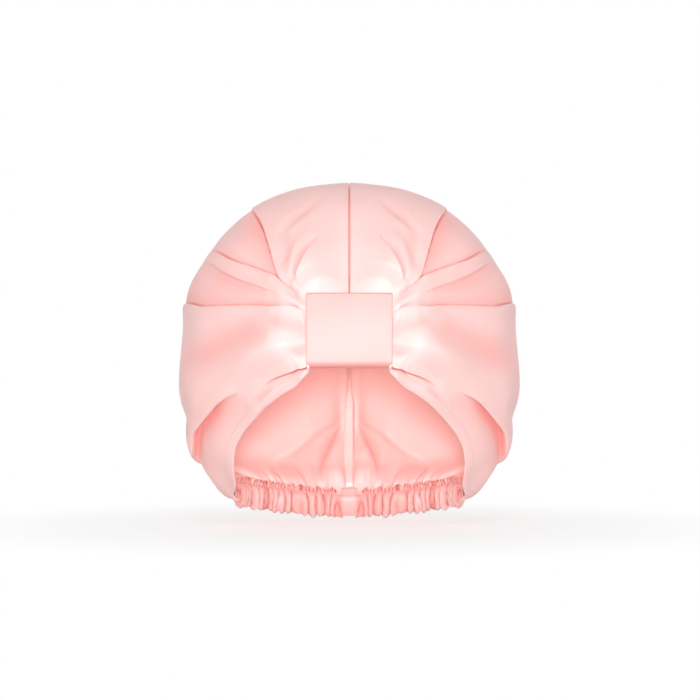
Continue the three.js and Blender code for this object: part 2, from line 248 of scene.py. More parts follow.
@dataclass(frozen=True)
class Pleat:
    """A fold of the crown with an edge: cloth on one side lies over the cloth on the other.

    Its path runs from band to nape and its top side is -1 towards the seam or 1 towards the face edge. The
    path of a fold across the back runs from seam to face edge, and its top side stands into the bonnet.
    """

    path: Path
    top: int
    rise: float  # height of the top side at the edge, in millimetres
    sink: float  # depth of the other side there
    lobe: float  # how far the top side stays raised
    recess: float  # how far the other side stays sunk
    span: Span
    overhang: float = 1.6  # how far the top side lies over the other
    edge: float = 1.3  # half the width of the turn of cloth at the edge
    fold_shade: float = 0.5  # painted shade in the fold, under the top side
    fold_shade_reach: float = 10.0
    fold_shade_from: int = -PARTS  # where between band and nape the painted shade begins
    crease_shadow: float = 0.0  # strength of the painted shadow line along the edge, from 0 to 1

    def shape(self, distance: Any, strength: Any) -> tuple[Any, Any, Any]:
        """The pleat at distances from its edge.

        Args:
            distance: millimetres from the edge, more than 0 where the path's places rise.
            strength: how far the pleat is formed there.

        Returns:
            The cloth's height, its shift across the edge, and its shade.
        """
        side = distance * self.top
        turn = side / self.edge
        past = np.maximum(-side, 0)
        raised = self.rise * np.exp(-np.maximum(side, 0) / self.lobe)
        sunk = -self.sink * np.exp(-past / self.recess)
        height = strength * (sunk + (raised - sunk) * smooth(-1, 1, turn))
        shift = -self.top * self.overhang * strength * SHIFT_PEAK * turn * hump(turn)
        hidden = strength * (1 - smooth(*EDGE_HIDES, turn))
        # Painted shade under the top side, and a painted shadow line along the edge
        under = self.fold_shade * np.exp(-past / self.fold_shade_reach) * hidden
        shown = np.maximum(-side - self.edge - OVERHANG_HIDES * self.overhang, 0)
        line = CREASE_SHADE * self.crease_shadow * np.exp(-shown / CREASE_WIDTH) * hidden
        return height, shift, np.maximum(under, line)


@dataclass(frozen=True)
class Swell:
    """A soft ridge or hollow of the cloth that has no edge."""

    path: Path
    rise: float  # in millimetres, less than 0 for a hollow
    width: float  # half its width
    span: Span
    fold_shade: float = 0.0  # painted shade along it


@dataclass(frozen=True)
class Lobe:
    """The round swelling of cloth between two pleats, fullest beside the band."""

    low: Pleat  # on the side of the seam
    high: Pleat
    rise: float
    span: Span
    lean: float = 1.0  # more than 1 where the lobe is fullest near the high pleat

    def height(self, s: Any, t: Any) -> Any:
        """The lobe at places of the crown.

        Args:
            s: from seam to face edge.
            t: from band to nape.

        Returns:
            Its height in millimetres.
        """
        low = spline(self.low.path, t)
        share = np.clip((s - low) / np.maximum(spline(self.high.path, t) - low, 0.01), 0, 1)
        return self.rise * formed(self.span, t) * np.sin(math.pi * share ** self.lean) ** 1.5


# How far the face edge is let out, between band and nape
FACE_CUT = (
    (0, 0), (30, 45), (60, 56), (100, 51), (150, 42), (220, 19), (350, -7), (500, -17), (700, 24), (880, 0),
    (1000, 0),
)
CROWN_DART = Pleat(
    path=((42, 460), (49, 420), (62, 342), (80, 250), (91, 200), (108, 170)),
    top=-1, rise=1.2, sink=3.4, lobe=8, recess=3, span=(40, 50, 70, 108), overhang=1.0, edge=0.6,
    fold_shade=1.0, fold_shade_reach=3.0,
)
CROWN_PLEAT = Pleat(
    path=(
        (0, 537), (41, 532), (80, 517), (104, 473), (133, 427), (175, 378), (221, 343), (280, 315),
        (360, 280), (450, 260),
    ),
    top=-1, rise=1.4, sink=3.4, lobe=14, recess=16, span=(20, 85, 200, 420), fold_shade=0.8, fold_shade_reach=16,
    fold_shade_from=85, crease_shadow=0.9,
)
TEMPLE_PLEAT = Pleat(
    path=(
        (0, 552), (40, 545), (80, 530), (121, 540), (169, 543), (240, 530), (328, 484), (420, 440),
        (500, 400),
    ),
    top=1, rise=1.2, sink=2.2, lobe=12, recess=9, span=(70, 100, 240, 450), edge=0.9, fold_shade=0.4,
    fold_shade_reach=8, crease_shadow=0.7,
)
STRIP_PLEAT = Pleat(
    path=(
        (0, 585), (50, 590), (100, 606), (140, 604), (190, 596), (260, 566), (330, 520), (420, 470),
        (500, 430),
    ),
    top=-1, rise=0.8, sink=1.2, lobe=10, recess=14, span=(60, 110, 250, 450), overhang=0.6, edge=2.4,
    fold_shade=0.6, fold_shade_reach=20, fold_shade_from=90,
)
SIDE_PLEAT = Pleat(
    path=(
        (0, 615), (25, 633), (76, 665), (110, 675), (205, 670), (278, 655), (369, 625), (487, 555),
        (580, 500), (660, 470),
    ),
    top=1, rise=1.4, sink=1.6, lobe=16, recess=14, span=(5, 40, 420, 660), edge=0.8, fold_shade=0.5,
    fold_shade_reach=20, fold_shade_from=60, crease_shadow=0.9,
)
EAR_FOLD = Pleat(
    path=(
        (0, 860), (100, 880), (200, 910), (331, 912), (388, 897), (436, 885), (478, 878), (542, 860),
        (599, 840), (650, 835), (700, 830), (1000, 780),
    ),
    top=-1, rise=2.4, sink=7.0, lobe=24, recess=16, span=(300, 480, 640, 900), overhang=3.5, edge=2.8,
    fold_shade=1.0, fold_shade_reach=9,
)
HEM_FOLD = Pleat(
    path=(
        (20, 985), (34, 978), (83, 953), (111, 950), (144, 943), (166, 940), (204, 940), (238, 943),
        (300, 950),
    ),
    top=-1, rise=0.6, sink=2.8, lobe=6, recess=5, span=(30, 50, 160, 260), overhang=0.8, edge=0.6,
    fold_shade=0.2, fold_shade_reach=1.4, crease_shadow=1.0,
)
PLEATS = (CROWN_DART, CROWN_PLEAT, TEMPLE_PLEAT, STRIP_PLEAT, SIDE_PLEAT, EAR_FOLD, HEM_FOLD)
# The folds across the back, inside the bonnet
BACK_FOLDS = (
    Pleat(
        path=(
            (0, 893), (22, 900), (55, 905), (115, 916), (182, 932), (258, 945), (362, 953), (440, 964),
            (547, 978),
        ),
        top=-1, rise=5.4, sink=3.2, lobe=20, recess=14, span=(12, 60, 270, 500), overhang=0.4, edge=3.0,
        fold_shade=0.6, fold_shade_reach=15,
    ),
    Pleat(
        path=((20, 895), (30, 907), (60, 930), (92, 950), (133, 971), (150, 980)),
        top=1, rise=2.2, sink=2.4, lobe=10, recess=7, span=(18, 35, 120, 160), overhang=0.0, edge=2.6,
        fold_shade=1.0, fold_shade_reach=12,
    ),
)
LOBES = (
    Lobe(CROWN_DART, CROWN_PLEAT, 1.8, (4, 40, 100, 300)),
    Lobe(TEMPLE_PLEAT, SIDE_PLEAT, 2.6, (2, 50, 100, 300), lean=1.2),
)
# Swells with a fold shade are painted darker along their path
SWELLS = (
    # The long soft crease beside the dart, and the narrow ridge between the two
    Swell(
        (
            (70, 430), (83, 420), (111, 355), (138, 315), (150, 275), (158, 240), (180, 163), (200, 125),
            (230, 90),
        ),
        -1.8, 4.5, (60, 90, 160, 230), fold_shade=0.25,
    ),
    Swell(((50, 455), (70, 400), (85, 340), (105, 275), (125, 240)), 1.4, 4, (45, 60, 90, 130)),
    # The ridge that runs down to the brim, and the rolls beside the band
    Swell(
        ((28, 700), (80, 775), (129, 825), (224, 858), (330, 885), (398, 888), (450, 890)),
        3.0, 11, (20, 100, 330, 500),
    ),
    Swell(((20, 810), (60, 830), (100, 840), (160, 850)), 4.6, 13, (10, 100, 120, 340)),
    Swell(((80, 800), (120, 810), (160, 820), (250, 840)), 4.0, 20, (10, 130, 170, 440)),
    # The puffs above the band, the lobes beside the binding, and the valley above the ridge
    Swell(((0, 340), (30, 340), (80, 320)), 3.6, 11, (1, 26, 34, 120)),
    Swell(((920, 50), (960, 60), (990, 65)), -6.0, 7, (915, 955, 975, 998)),
    Swell(
        ((60, 720), (130, 735), (200, 742), (350, 745), (500, 700)),
        -2.4, 13, (100, 200, 360, 600), fold_shade=0.5,
    ),
    # The hollow under the side pleat, and short creases where the cloth is drawn under the band's sides
    Swell(((19, 768), (30, 753), (64, 738), (101, 728), (141, 715)), -1.5, 5, (8, 30, 80, 160), fold_shade=0.4),
    Swell(((0, 560), (80, 560)), -0.6, 2.0, (4, 20, 30, 80), fold_shade=0.4),
    Swell(((0, 880), (50, 878), (80, 873)), -0.9, 4.0, (0, 20, 55, 100), fold_shade=0.5),
    # The crease that crosses the hem, and the bright cloth above it
    Swell(
        ((220, 955), (245, 965), (275, 970), (306, 973), (340, 976)),
        -1.0, 1.6, (220, 250, 290, 340), fold_shade=0.35,
    ),
    Swell(((240, 930), (300, 945), (360, 950)), 1.6, 5, (220, 270, 310, 380)),
    # The fullness over the ears, and the flatter cloth below the ear fold
    Swell(((300, 600), (450, 540), (600, 480)), 3.6, 18, (250, 440, 600, 800)),
    Swell(((500, 780), (650, 745), (800, 700)), -4.0, 12, (500, 600, 700, 800)),
    Swell(((500, 950), (700, 930), (900, 900)), -4.0, 18, (550, 700, 850, 970)),
)


@dataclass(frozen=True)
class Gathers:
    """The uneven gathers that the elastic draws up along one half of the nape."""

    count: int = 15
    end_turn: float = 84  # where the casing ends, in degrees round from centre back
    crowding: tuple[Wave, ...] = ((0.026, 3, 3), (0.012, 7, 7), (0.006, 11, 11))  # shift the gathers
    deepening: tuple[Wave, ...] = ((0.22, 4.3, 1.1), (0.14, 9.7, 0.3))  # deepen some and not others
    mean_depth: float = 0.85
    roundness: float = 0.75  # less than 1 for round ridges with narrow valleys

    def uneven(self, turn: Any, waves: tuple[Wave, ...]) -> Any:
        """The sum of waves along the casing at a turn in radians."""
        share = turn / math.radians(self.end_turn)
        return sum(size * np.sin(WHOLE * number * share + start) for size, number, start in waves)

    def phase(self, turn: Any) -> Any:
        """How many gathers lie between centre back and a turn in radians."""
        return self.count * (turn / math.radians(self.end_turn) + self.uneven(turn, self.crowding))

    def depth(self, turn: Any) -> Any:
        """How deep the gathers are at a turn, about 1."""
        return self.mean_depth + self.uneven(turn, self.deepening)

    def ruffle(self, turn: Any, every: float = 1) -> Any:
        """A wave through the gathers, from -1 to 1. every joins that many gathers into one."""
        return np.cos(WHOLE * self.phase(turn) / every) * self.depth(turn)

    def ridge(self, turn: Any, lean: Any) -> Any:
        """Round ridges with narrow valleys between them. lean shifts them by a share of a gather."""
        return np.abs(np.cos(math.pi * (self.phase(turn) + lean))) ** self.roundness * self.depth(turn)


@dataclass(frozen=True)
class Crown:
    """The cloth of the crown on the right of the centre seam.

    Arcs of cloth run from the band to the nape and swell out to a girth curve half way. Lengths are in
    millimetres and angles in degrees.
    """

    band_width: float
    band_height: float
    band_bottom: float
    band_front: float
    pleat_foot: float = 6  # height of the lowest pleat above the band's bottom
    band_tuck: float = 4  # how far the pleats stay in from the band's edge
    pleat_corner: float = 7
    pleat_inset: float = 2.4  # depth of the pleats behind the band's front
    pleat_crowding: float = 1.32
    half_width: float = 118.5
    rise: float = 117.7
    standoff: float = 51.4  # from the line between band and nape to the girth's middle
    sweep: float = 142.6  # of the girth from seam to face edge
    girth_power: float = 0.9
    arc_power: float = 0.87
    corner_power: float = 0.6
    nape_half_width: float = 79
    nape_depth: float = 60
    nape_ear: float = 18  # place of the nape's ends, behind the head's axis
    nape_rise: float = 11
    casing_height: float = 18.3
    casing_end: float = 84
    panel_lift: float = 1.3
    corner_out: float = 4.8  # of the lower corner over the casing
    corner_drop: float = 17
    corner_forward: float = 3
    corner_inward: float = 5
    corner_from: Pair = (0.9, 0.5)  # where it begins, in s and t
    cut_from: float = 0.7  # where the face edge's cut begins to move the cloth
    comes_out: Pair = (0.6, 0.74)  # where the lower edge comes out over the casing
    held_to: Pair = (0.58, 0.74)  # where the casing lets go of the cloth above it
    back_from: Pair = (0.7, 0.8)  # where the folds across the back begin
    nape_tuck: float = 5  # how far the cloth runs down into the casing's heading
    nape_hold: float = 24  # height over which the casing draws the cloth in
    seam_gap: float = 0.15
    groove: float = 0.9  # depth of the seam's groove
    groove_width: float = 0.5
    # Painted shade along the seam's groove
    seam_shade: float = 1.5
    seam_shade_width: float = 0.35
    band_shade: float = 0.8  # painted shadow where the pleats beside the face edge go under the band
    band_shade_along: Pair = (0.006, 0.026)
    band_shade_across: Pair = (0.58, 0.68)
    hem: float = 7.0  # width of the hem
    hem_rise: float = 0.55
    hem_slope: Pair = (-0.6, 0.4)  # where its inner edge falls
    hem_dent: float = 0.3  # depth of the line where it is sewn
    hem_along: Span = (20, 60, 250, 450)
    hem_fade: float = 0.75
    puff: float = 2.4  # rise of the cloth beside the band
    puff_along: Span = (3, 24, 50, 200)
    puff_across: Span = (50, 250, 600, 750)
    puff_fade: float = 0.5
    flare: float = 4.6  # of the face edge
    flare_width: float = 9
    flare_along: Span = (40, 90, 220, 360)
    # Waves above the casing, as their height, the gathers that join into one, and where they are
    gather_waves: tuple[tuple[float, int, Span], ...] = (
        (0.9, 1, (968, 990, 1000, 1001)), (1, 2, (950, 980, 985, 1000)), (0.4, 5, (920, 960, 970, 990)),
    )
    gathers_to: Pair = (0.7, 0.86)
    # Slight unevenness of soft cloth, as a height and two crossing waves by s, t and phase
    wrinkle_waves: tuple[tuple[float, Wave, Wave], ...] = (
        (0.35, (23, 4, 1.3), (-3, 7, 0.4)), (0.18, (41, -9, 2.1), (5, 13, 0)),
    )
    wrinkled: Span = (40, 200, 850, 950)
    gathers: Gathers = Gathers()

    def band_rim(self, s: Any) -> Array:
        """The row of pleat ends under the band: along its top, round the corner and down its side.

        Args:
            s: from seam to face edge.

        Returns:
            The points.
        """
        foot = self.band_bottom + self.pleat_foot
        height = self.band_bottom + self.band_height - self.band_tuck - foot
        top = self.band_width / 2 - self.band_tuck - self.pleat_corner
        corner = self.pleat_corner * QUARTER
        along = s ** self.pleat_crowding * (top + corner + height - self.pleat_corner)
        turn = np.clip((along - top) / self.pleat_corner, 0, QUARTER)
        x = np.where(along < top, along, top + self.pleat_corner * np.sin(turn))
        fall = self.pleat_corner * (1 - np.cos(turn)) + np.maximum(0, along - top - corner)
        y = np.full_like(x, self.band_front + self.pleat_inset)
        return np.stack([x, y, foot + height - fall], -1)

    def across(self, turn: Any) -> Array:
        """The level direction out of the nape ring at a turn in radians from centre back."""
        back = self.nape_half_width * np.cos(turn)
        return unit(np.stack([self.nape_depth * np.sin(turn), back, np.zeros_like(back)], -1))

    def nape_point(self, turn: Any, out: Any, up: Any) -> Array:
        """A point of the nape.

        Args:
            turn: radians round from centre back.
            out: millimetres out across the casing.
            up: millimetres up from its lower edge.

        Returns:
            The points.
        """
        x = self.nape_half_width * np.sin(turn)
        y = self.nape_ear + self.nape_depth * np.cos(turn)
        z = self.nape_rise * np.sin(turn) ** 2 + up
        return np.stack(np.broadcast_arrays(x, y, z), -1) + self.across(turn) * np.asarray(out)[..., None]

    def nape_rim(self, s: Any, tuck: float) -> Array:
        """The lower edge: inside the casing's heading at the back, and over the casing at the ear.

        Args:
            s: from seam to face edge.
            tuck: how far the edge goes down into the heading.

        Returns:
            The points.
        """
        outside = smooth(*self.comes_out, s)
        up = self.casing_height + self.panel_lift - tuck * (1 - outside)
        up = up - self.corner_drop * smooth(self.comes_out[1], 1, s)
        point = self.nape_point(s * QUARTER, outside * self.corner_out, up)
        turn_in = smooth(self.casing_end / 90, 1, s)
        point[..., 0] -= self.corner_inward * turn_in
        point[..., 1] -= self.corner_forward * turn_in
        return point

    def girth(self, s: Any) -> Array:
        """The curve half way along every arc, in the plane across the line from band to nape.

        Args:
            s: from seam to face edge.

        Returns:
            The points.
        """
        front = self.band_rim(np.zeros(1))[0]
        back = self.nape_rim(np.zeros(1), 0)[0]
        chord = unit(back - front)
        turn = math.radians(self.sweep) * s
        height = self.standoff + self.rise * signed_power(np.cos(turn), self.girth_power)
        point = (front + back) / 2 + height[..., None] * np.array([0, -chord[2], chord[1]])
        point[..., 0] = self.half_width * signed_power(np.sin(turn), self.girth_power)
        return point

    def smooth_point(self, place: Any, t: Any) -> Array:
        """A point of the crown without its pleats.

        Args:
            place: from seam to face edge.
            t: from band to nape.

        Returns:
            The points.
        """
        s = place + spline(FACE_CUT, t) * smooth(self.cut_from, 1, place)
        front = self.band_rim(s)
        back = self.nape_rim(s, self.nape_tuck)
        middle = (front + back) / 2
        corner_s, corner_t = self.corner_from
        power = self.arc_power + self.corner_power * smooth(corner_s, 1, s) * smooth(corner_t, 1, t)
        swell = np.maximum(np.sin(math.pi * t), 0) ** power
        half = np.cos(math.pi * t) / 2
        point = middle + (front - back) * half[..., None] + (self.girth(s) - middle) * swell[..., None]
        point[..., 0] += self.seam_gap
        return self.drawn_in(point, s)

    def drawn_in(self, point: Array, s: Any) -> Array:
        """Points drawn in above the casing, so that the cloth goes straight down into the heading.

        Args:
            point: the points.
            s: their places from seam to face edge.

        Returns:
            The points where they are drawn to.
        """
        turn = s * QUARTER
        across = self.across(turn)
        up = point[..., 2] - self.nape_rise * np.sin(turn) ** 2
        out = ((point - self.nape_point(turn, np.zeros_like(turn), up)) * across).sum(-1)
        free = smooth(self.casing_height, self.casing_height + self.nape_hold, up)
        held = (1 - smooth(*self.held_to, s)) * (1 - free) ** 2 * (point[..., 1] > 0)
        return point - across * (out * held)[..., None]

    def slopes(self, s: Any, t: Any) -> tuple[Array, Array]:
        """How the crown moves with s and with t.

        Args:
            s: from seam to face edge.
            t: from band to nape.

        Returns:
            Both moves, in millimetres for a whole step.
        """
        low_s, high_s = np.maximum(s - SLOPE_STEP, 0), np.minimum(s + SLOPE_STEP, 1)
        low_t, high_t = np.maximum(t - SLOPE_STEP, 0), np.minimum(t + SLOPE_STEP, 1)
        along_s = (self.smooth_point(high_s, t) - self.smooth_point(low_s, t)) / (high_s - low_s)[..., None]
        along_t = (self.smooth_point(s, high_t) - self.smooth_point(s, low_t)) / (high_t - low_t)[..., None]
        return along_s, along_t

    def relief(self, s: Any, t: Any, breadth: Any, run: Any) -> tuple[Any, Any, Any, Any]:
        """The pleats at places of the crown.

        Args:
            s: from seam to face edge.
            t: from band to nape.
            breadth: millimetres from seam to face edge at that rate.
            run: millimetres from band to nape at that rate.

        Returns:
            The cloth's height above the smooth crown, its shifts towards the face edge and towards the nape,
            and its shade.
        """
        height, sideways, lengthways, shade = (np.zeros_like(s) for _ in range(4))
        for pleat in PLEATS:
            stands, shift, under = pleat.shape(away(pleat.path, t, s, run, breadth), formed(pleat.span, t))
            begins = pleat.fold_shade_from / PARTS
            height += stands
            sideways += shift
            shade = np.maximum(shade, under * smooth(begins, begins + FOLD_SHADE_FADE, t))
        for fold in BACK_FOLDS:
            strength = formed(fold.span, s) * smooth(*self.back_from, t)
            stands, shift, under = fold.shape(away(fold.path, s, t, breadth, run), strength)
            height -= stands
            lengthways += shift
            shade = np.maximum(shade, under)
        for swell in SWELLS:
            near = formed(swell.span, t) * hump(away(swell.path, t, s, run, breadth) / swell.width)
            height += swell.rise * near
            shade = np.maximum(shade, swell.fold_shade * near)
        for lobe in LOBES:
            height += lobe.height(s, t)
        return height, sideways, lengthways, np.clip(shade, 0, 2)

    def sewing(self, s: Any, t: Any, breadth: Any) -> Array:
        """Height of what sewing does to the cloth: the seam's groove, the hem, its flare and the puffs.

        Args:
            s: from seam to face edge.
            t: from band to nape.
            breadth: millimetres from seam to face edge at that rate.

        Returns:
            The height in millimetres.
        """
        from_edge = (1 - s) * breadth
        groove = -self.groove * hump(s * breadth / self.groove_width)
        low, high = self.hem_slope
        hem = self.hem_rise * (1 - smooth(self.hem + low, self.hem + high, from_edge))
        hem = (hem - self.hem_dent * hump(from_edge - self.hem)) * formed(self.hem_along, t, self.hem_fade)
        puff = self.puff * formed(self.puff_along, t) * formed(self.puff_across, s, self.puff_fade)
        near = np.clip(1 - from_edge / self.flare_width, 0, 1)
        flare = self.flare * formed(self.flare_along, t) * near ** 2
        return groove + hem + puff + flare

    def gathered(self, s: Any, t: Any) -> Array:
        """Waves above the casing, which join into fewer and longer ones further up.

        Args:
            s: from seam to face edge.
            t: from band to nape.

        Returns:
            Their height in millimetres.
        """
        turn = s * QUARTER
        waves = sum(
            rise * formed(span, t) * self.gathers.ruffle(turn, joined)
            for rise, joined, span in self.gather_waves
        )
        return waves * (1 - smooth(*self.gathers_to, s))

    def wrinkles(self, s: Any, t: Any) -> Array:
        """Slight unevenness of soft cloth, in long waves from band to nape.

        Args:
            s: from seam to face edge.
            t: from band to nape.

        Returns:
            Its height in millimetres.
        """
        height = np.zeros_like(s)
        for rise, *waves in self.wrinkle_waves:
            one, other = (np.sin(by_s * s + by_t * t + start) for by_s, by_t, start in waves)
            height += rise * one * other
        return height * formed(self.wrinkled, t)

    def cloth(self, s: Any, t: Any, offset: float) -> tuple[Array, Array, Array]:
        """Points of the pleated cloth.

        Args:
            s: from seam to face edge.
            t: from band to nape.
            offset: millimetres out of the cloth's middle.

        Returns:
            The points, the direction out of the cloth there, and its shade.
        """
        breadth, run = (np.maximum(np.linalg.norm(slope, axis=-1), 1) for slope in self.slopes(s, t))
        height, sideways, lengthways, shade = self.relief(s, t, breadth, run)
        # Painted shade along the seam and beside the band
        seam = self.seam_shade * hump(s * breadth / self.seam_shade_width)
        shadow_by_band = self.band_shade * (1 - smooth(*self.band_shade_along, t))
        shadow_by_band = shadow_by_band * smooth(*self.band_shade_across, s)
        moved_s = np.clip(s + sideways / breadth, 0, 1)
        moved_t = np.clip(t + lengthways / run, 0, 1)
        normal = unit(np.cross(*self.slopes(moved_s, moved_t)))
        height = height + self.sewing(s, t, breadth) + self.gathered(s, t) + self.wrinkles(s, t) + offset
        points = self.smooth_point(moved_s, moved_t) + normal * height[..., None]
        return points, normal, np.maximum(shade, np.maximum(seam, shadow_by_band))

    def from_edge(self, t: Any, width: float) -> Any:
        """The place that lies a width in from the face edge."""
        return 1 - width / np.linalg.norm(self.slopes(np.ones_like(t), t)[0], axis=-1)


def add_node(tree: Tree, kind: str, links: dict[Any, Any] | None = None, **settings: Any) -> Any:
    """Adds a node to a tree.

    Args:
        tree: the shader or geometry tree.
        kind: the node's type name.
        links: input name or number, and the value or output that it takes, or a node for its first output.
        settings: the node's own settings.

    Returns:
        The new node.
    """
    node = tree.nodes.new(kind)
    for name, value in settings.items():
        setattr(node, name, value)
    for name, value in (links or {}).items():
        if isinstance(value, bpy.types.Node):
            value = next(output for output in value.outputs if output.enabled)
        if isinstance(value, bpy.types.NodeSocket):
            tree.links.new(value, node.inputs[name])
        else:
            node.inputs[name].default_value = value
    return node


def new_material(name: str) -> tuple[Material, Tree]:
    """Makes an empty node material.

    Args:
        name: the material's name.

    Returns:
        The material, and its tree.
    """
    material = bpy.data.materials.new(name)
    material.use_nodes = True
    material.node_tree.nodes.clear()
    return material, material.node_tree


def mix(tree: Tree, share: Any, low: Any, high: Any) -> Any:
    """Adds a node that mixes two colours, low where share is 0 and high where it is 1."""
    return add_node(tree, "ShaderNodeMix", {0: share, 6: low, 7: high}, data_type="RGBA")


def bump(tree: Tree, height: Any, strength: float, depth: float) -> Any:
    """Adds a node for fine relief, whose depth is in millimetres."""
    return add_node(tree, "ShaderNodeBump", {"Height": height, "Strength": strength, "Distance": depth * MM})


def seen_directly(tree: Tree) -> Any:
    """Tells rays by which the background is seen from those that light things.

    Args:
        tree: where the nodes are added.

    Returns:
        The node that gives 1 for the first and 0 for the others.
    """
    ray = add_node(tree, "ShaderNodeLightPath").outputs
    seen = add_node(tree, "ShaderNodeMath", {0: ray["Is Camera Ray"], 1: ray["Is Glossy Ray"]})
    return add_node(tree, "ShaderNodeMath", {0: seen, 1: ray["Is Transmission Ray"]}, use_clamp=True)


@dataclass(frozen=True)
class Satin:
    """Polyester satin, woven so that long warp floats cover its face.

    The floats give a soft streak of gloss across the thread. Colours are sRGB hex codes.
    """

    name: str
    light: str  # colour of the face
    deep: str  # painted shade colour, mixed in where cloth lies deep in a fold
    crease_shadow: str = "B8817C"  # painted shadow colour in the narrow lines that hardly any light gets into
    roughness: float = 0.35
    uneven_gloss: float = 0.06
    thinness: float = 0.25  # how much of the light comes through from behind, from 0 to 1
    through: str = "FFC4BE"  # colour of that light
    specular: float = 0.6
    float_width: float = 0.5  # of a streak in millimetres, coarser than a real float so that it shows
    float_length: float = 7.0
    cloud: float = 35  # size of slight changes in colour
    cloud_depth: float = 0.16
    # how strongly the painted fold shade mixes in the deep colour
    painted_shade_strength: float = 0.7

    def material(self) -> Material:
        """Builds the material.

        Returns:
            The material.
        """
        material, tree = new_material(self.name)
        cloth = add_node(tree, "ShaderNodeUVMap", uv_map=CLOTH_MAP)
        size = (1 / self.float_width, 1 / self.float_length, 1)
        drawn = add_node(tree, "ShaderNodeMapping", {"Vector": cloth, "Scale": size})
        grain = {"Vector": drawn, "Scale": 1.0, "Detail": 2.0, "Roughness": 0.55}
        streaks = add_node(tree, "ShaderNodeTexNoise", grain)
        place = add_node(tree, "ShaderNodeTexCoord").outputs["Object"]
        clouds = {"Vector": place, "Scale": 1 / (self.cloud * MM), "Detail": 2.0}
        cloudy = add_node(tree, "ShaderNodeTexNoise", clouds)
        # Painted shade: the fold attribute mixes in the deep colour, and above 1 the crease shadow colour
        fold = add_node(tree, "ShaderNodeAttribute", attribute_name=PAINTED_SHADE).outputs["Fac"]
        uneven = add_node(tree, "ShaderNodeMath", {0: cloudy, 1: self.cloud_depth}, operation="MULTIPLY")
        sums = {0: fold, 1: self.painted_shade_strength, 2: uneven}
        depth = add_node(tree, "ShaderNodeMath", sums, operation="MULTIPLY_ADD", use_clamp=True)
        colour = mix(tree, depth, linear_colour(self.light), linear_colour(self.deep))
        painted_crease = add_node(tree, "ShaderNodeMapRange", {"Value": fold, "From Min": 1.0, "From Max": 2.0})
        colour = mix(tree, painted_crease, colour, linear_colour(self.crease_shadow))
        low, high = self.roughness - self.uneven_gloss, self.roughness + self.uneven_gloss
        gloss = add_node(tree, "ShaderNodeMapRange", {"Value": streaks, "To Min": low, "To Max": high})
        shader = add_node(
            tree, "ShaderNodeBsdfPrincipled",
            {
                "Base Color": colour,
                "Roughness": gloss,
                "Normal": bump(tree, streaks, 0.03, 0.05),
                "Tangent": add_node(tree, "ShaderNodeTangent", direction_type="UV_MAP", uv_map=CLOTH_MAP),
                "IOR": 1.5,
                "Specular IOR Level": self.specular,
                "Anisotropic": 0.7,
                "Anisotropic Rotation": 0.25,
                "Sheen Weight": 0.1,
                "Sheen Roughness": 0.4,
            },
        )
        through = add_node(tree, "ShaderNodeBsdfTranslucent", {"Color": linear_colour(self.through)})
        mixed = add_node(tree, "ShaderNodeMixShader", {0: self.thinness, 1: shader, 2: through})
        add_node(tree, "ShaderNodeOutputMaterial", {"Surface": mixed})
        return material


@dataclass(frozen=True)
class Yarn:
    """Dull polyester yarn with ridges: twisted sewing thread, or elastic woven over rubber cords."""

    name: str
    light: str  # colour on the ridges, as an sRGB hex code
    deep: str  # colour between them
    ridges: Ridges
    pitch: float  # from ridge to ridge in millimetres, drawn wide enough to show
    waver: float  # how unevenly the ridges run
    strength: float  # how clearly they show
    depth: float  # between them
    roughness: float
    sheen: float = 0.0

    def material(self) -> Material:
        """Builds the material.

        Returns:
            The material.
        """
        material, tree = new_material(self.name)
        if self.ridges is Ridges.PICKS:
            place = add_node(tree, "ShaderNodeUVMap", uv_map=CLOTH_MAP)
            scale = WAVE_PITCH / self.pitch
        else:
            place = add_node(tree, "ShaderNodeTexCoord").outputs["Object"]
            scale = WAVE_PITCH / (self.pitch * MM)
        waves = {"Vector": place, "Scale": scale, "Distortion": self.waver}
        turns = add_node(tree, "ShaderNodeTexWave", waves, bands_direction=self.ridges.value).outputs["Fac"]
        shader = add_node(
            tree, "ShaderNodeBsdfPrincipled",
            {
                "Base Color": mix(tree, turns, linear_colour(self.deep), linear_colour(self.light)),
                "Normal": bump(tree, turns, self.strength, self.depth),
                "Roughness": self.roughness,
                "IOR": 1.5,
                "Sheen Weight": self.sheen,
            },
        )
        add_node(tree, "ShaderNodeOutputMaterial", {"Surface": shader})
        return material


CROWN_SATIN = Satin(
    "crown_satin", light="FFE2DF", deep="FD8A80", roughness=0.36, specular=0.3, thinness=0.17,
    through="FFBBB3",
)
# A darker copy of the satin: painted shade that tones down the band's flat face, which looks straight at the
# front lamp
BAND_SATIN = Satin("band_satin", light="F4CAC7", deep="EE928A", roughness=0.55, thinness=0.05, specular=0.1)
TRIM_SATIN = Satin("trim_satin", light="FFE8E5", deep="F08C84", thinness=0.0)
CASING_SATIN = Satin(
    "casing_satin", light="F9D2CE", deep="E27A72", roughness=0.36, specular=0.4, thinness=0.05,
)
SEWING_THREAD = Yarn("sewing_thread", "F3B4AF", "E08F89", Ridges.TWIST, 0.6, 1.5, 0.4, 0.05, 0.65, sheen=0.2)
ELASTIC_WEB = Yarn("elastic_web", "F4EFEC", "CFC6C0", Ridges.PICKS, 0.9, 0.6, 0.5, 0.15, 0.8)


def new_piece(name: str, mesh: bpy.types.Mesh) -> Piece:
    """Puts a mesh into the scene, at the origin.

    Args:
        name: the piece's name.
        mesh: its mesh.

    Returns:
        The new object.
    """
    piece = bpy.data.objects.new(name, mesh)
    bpy.context.scene.collection.objects.link(piece)
    return piece


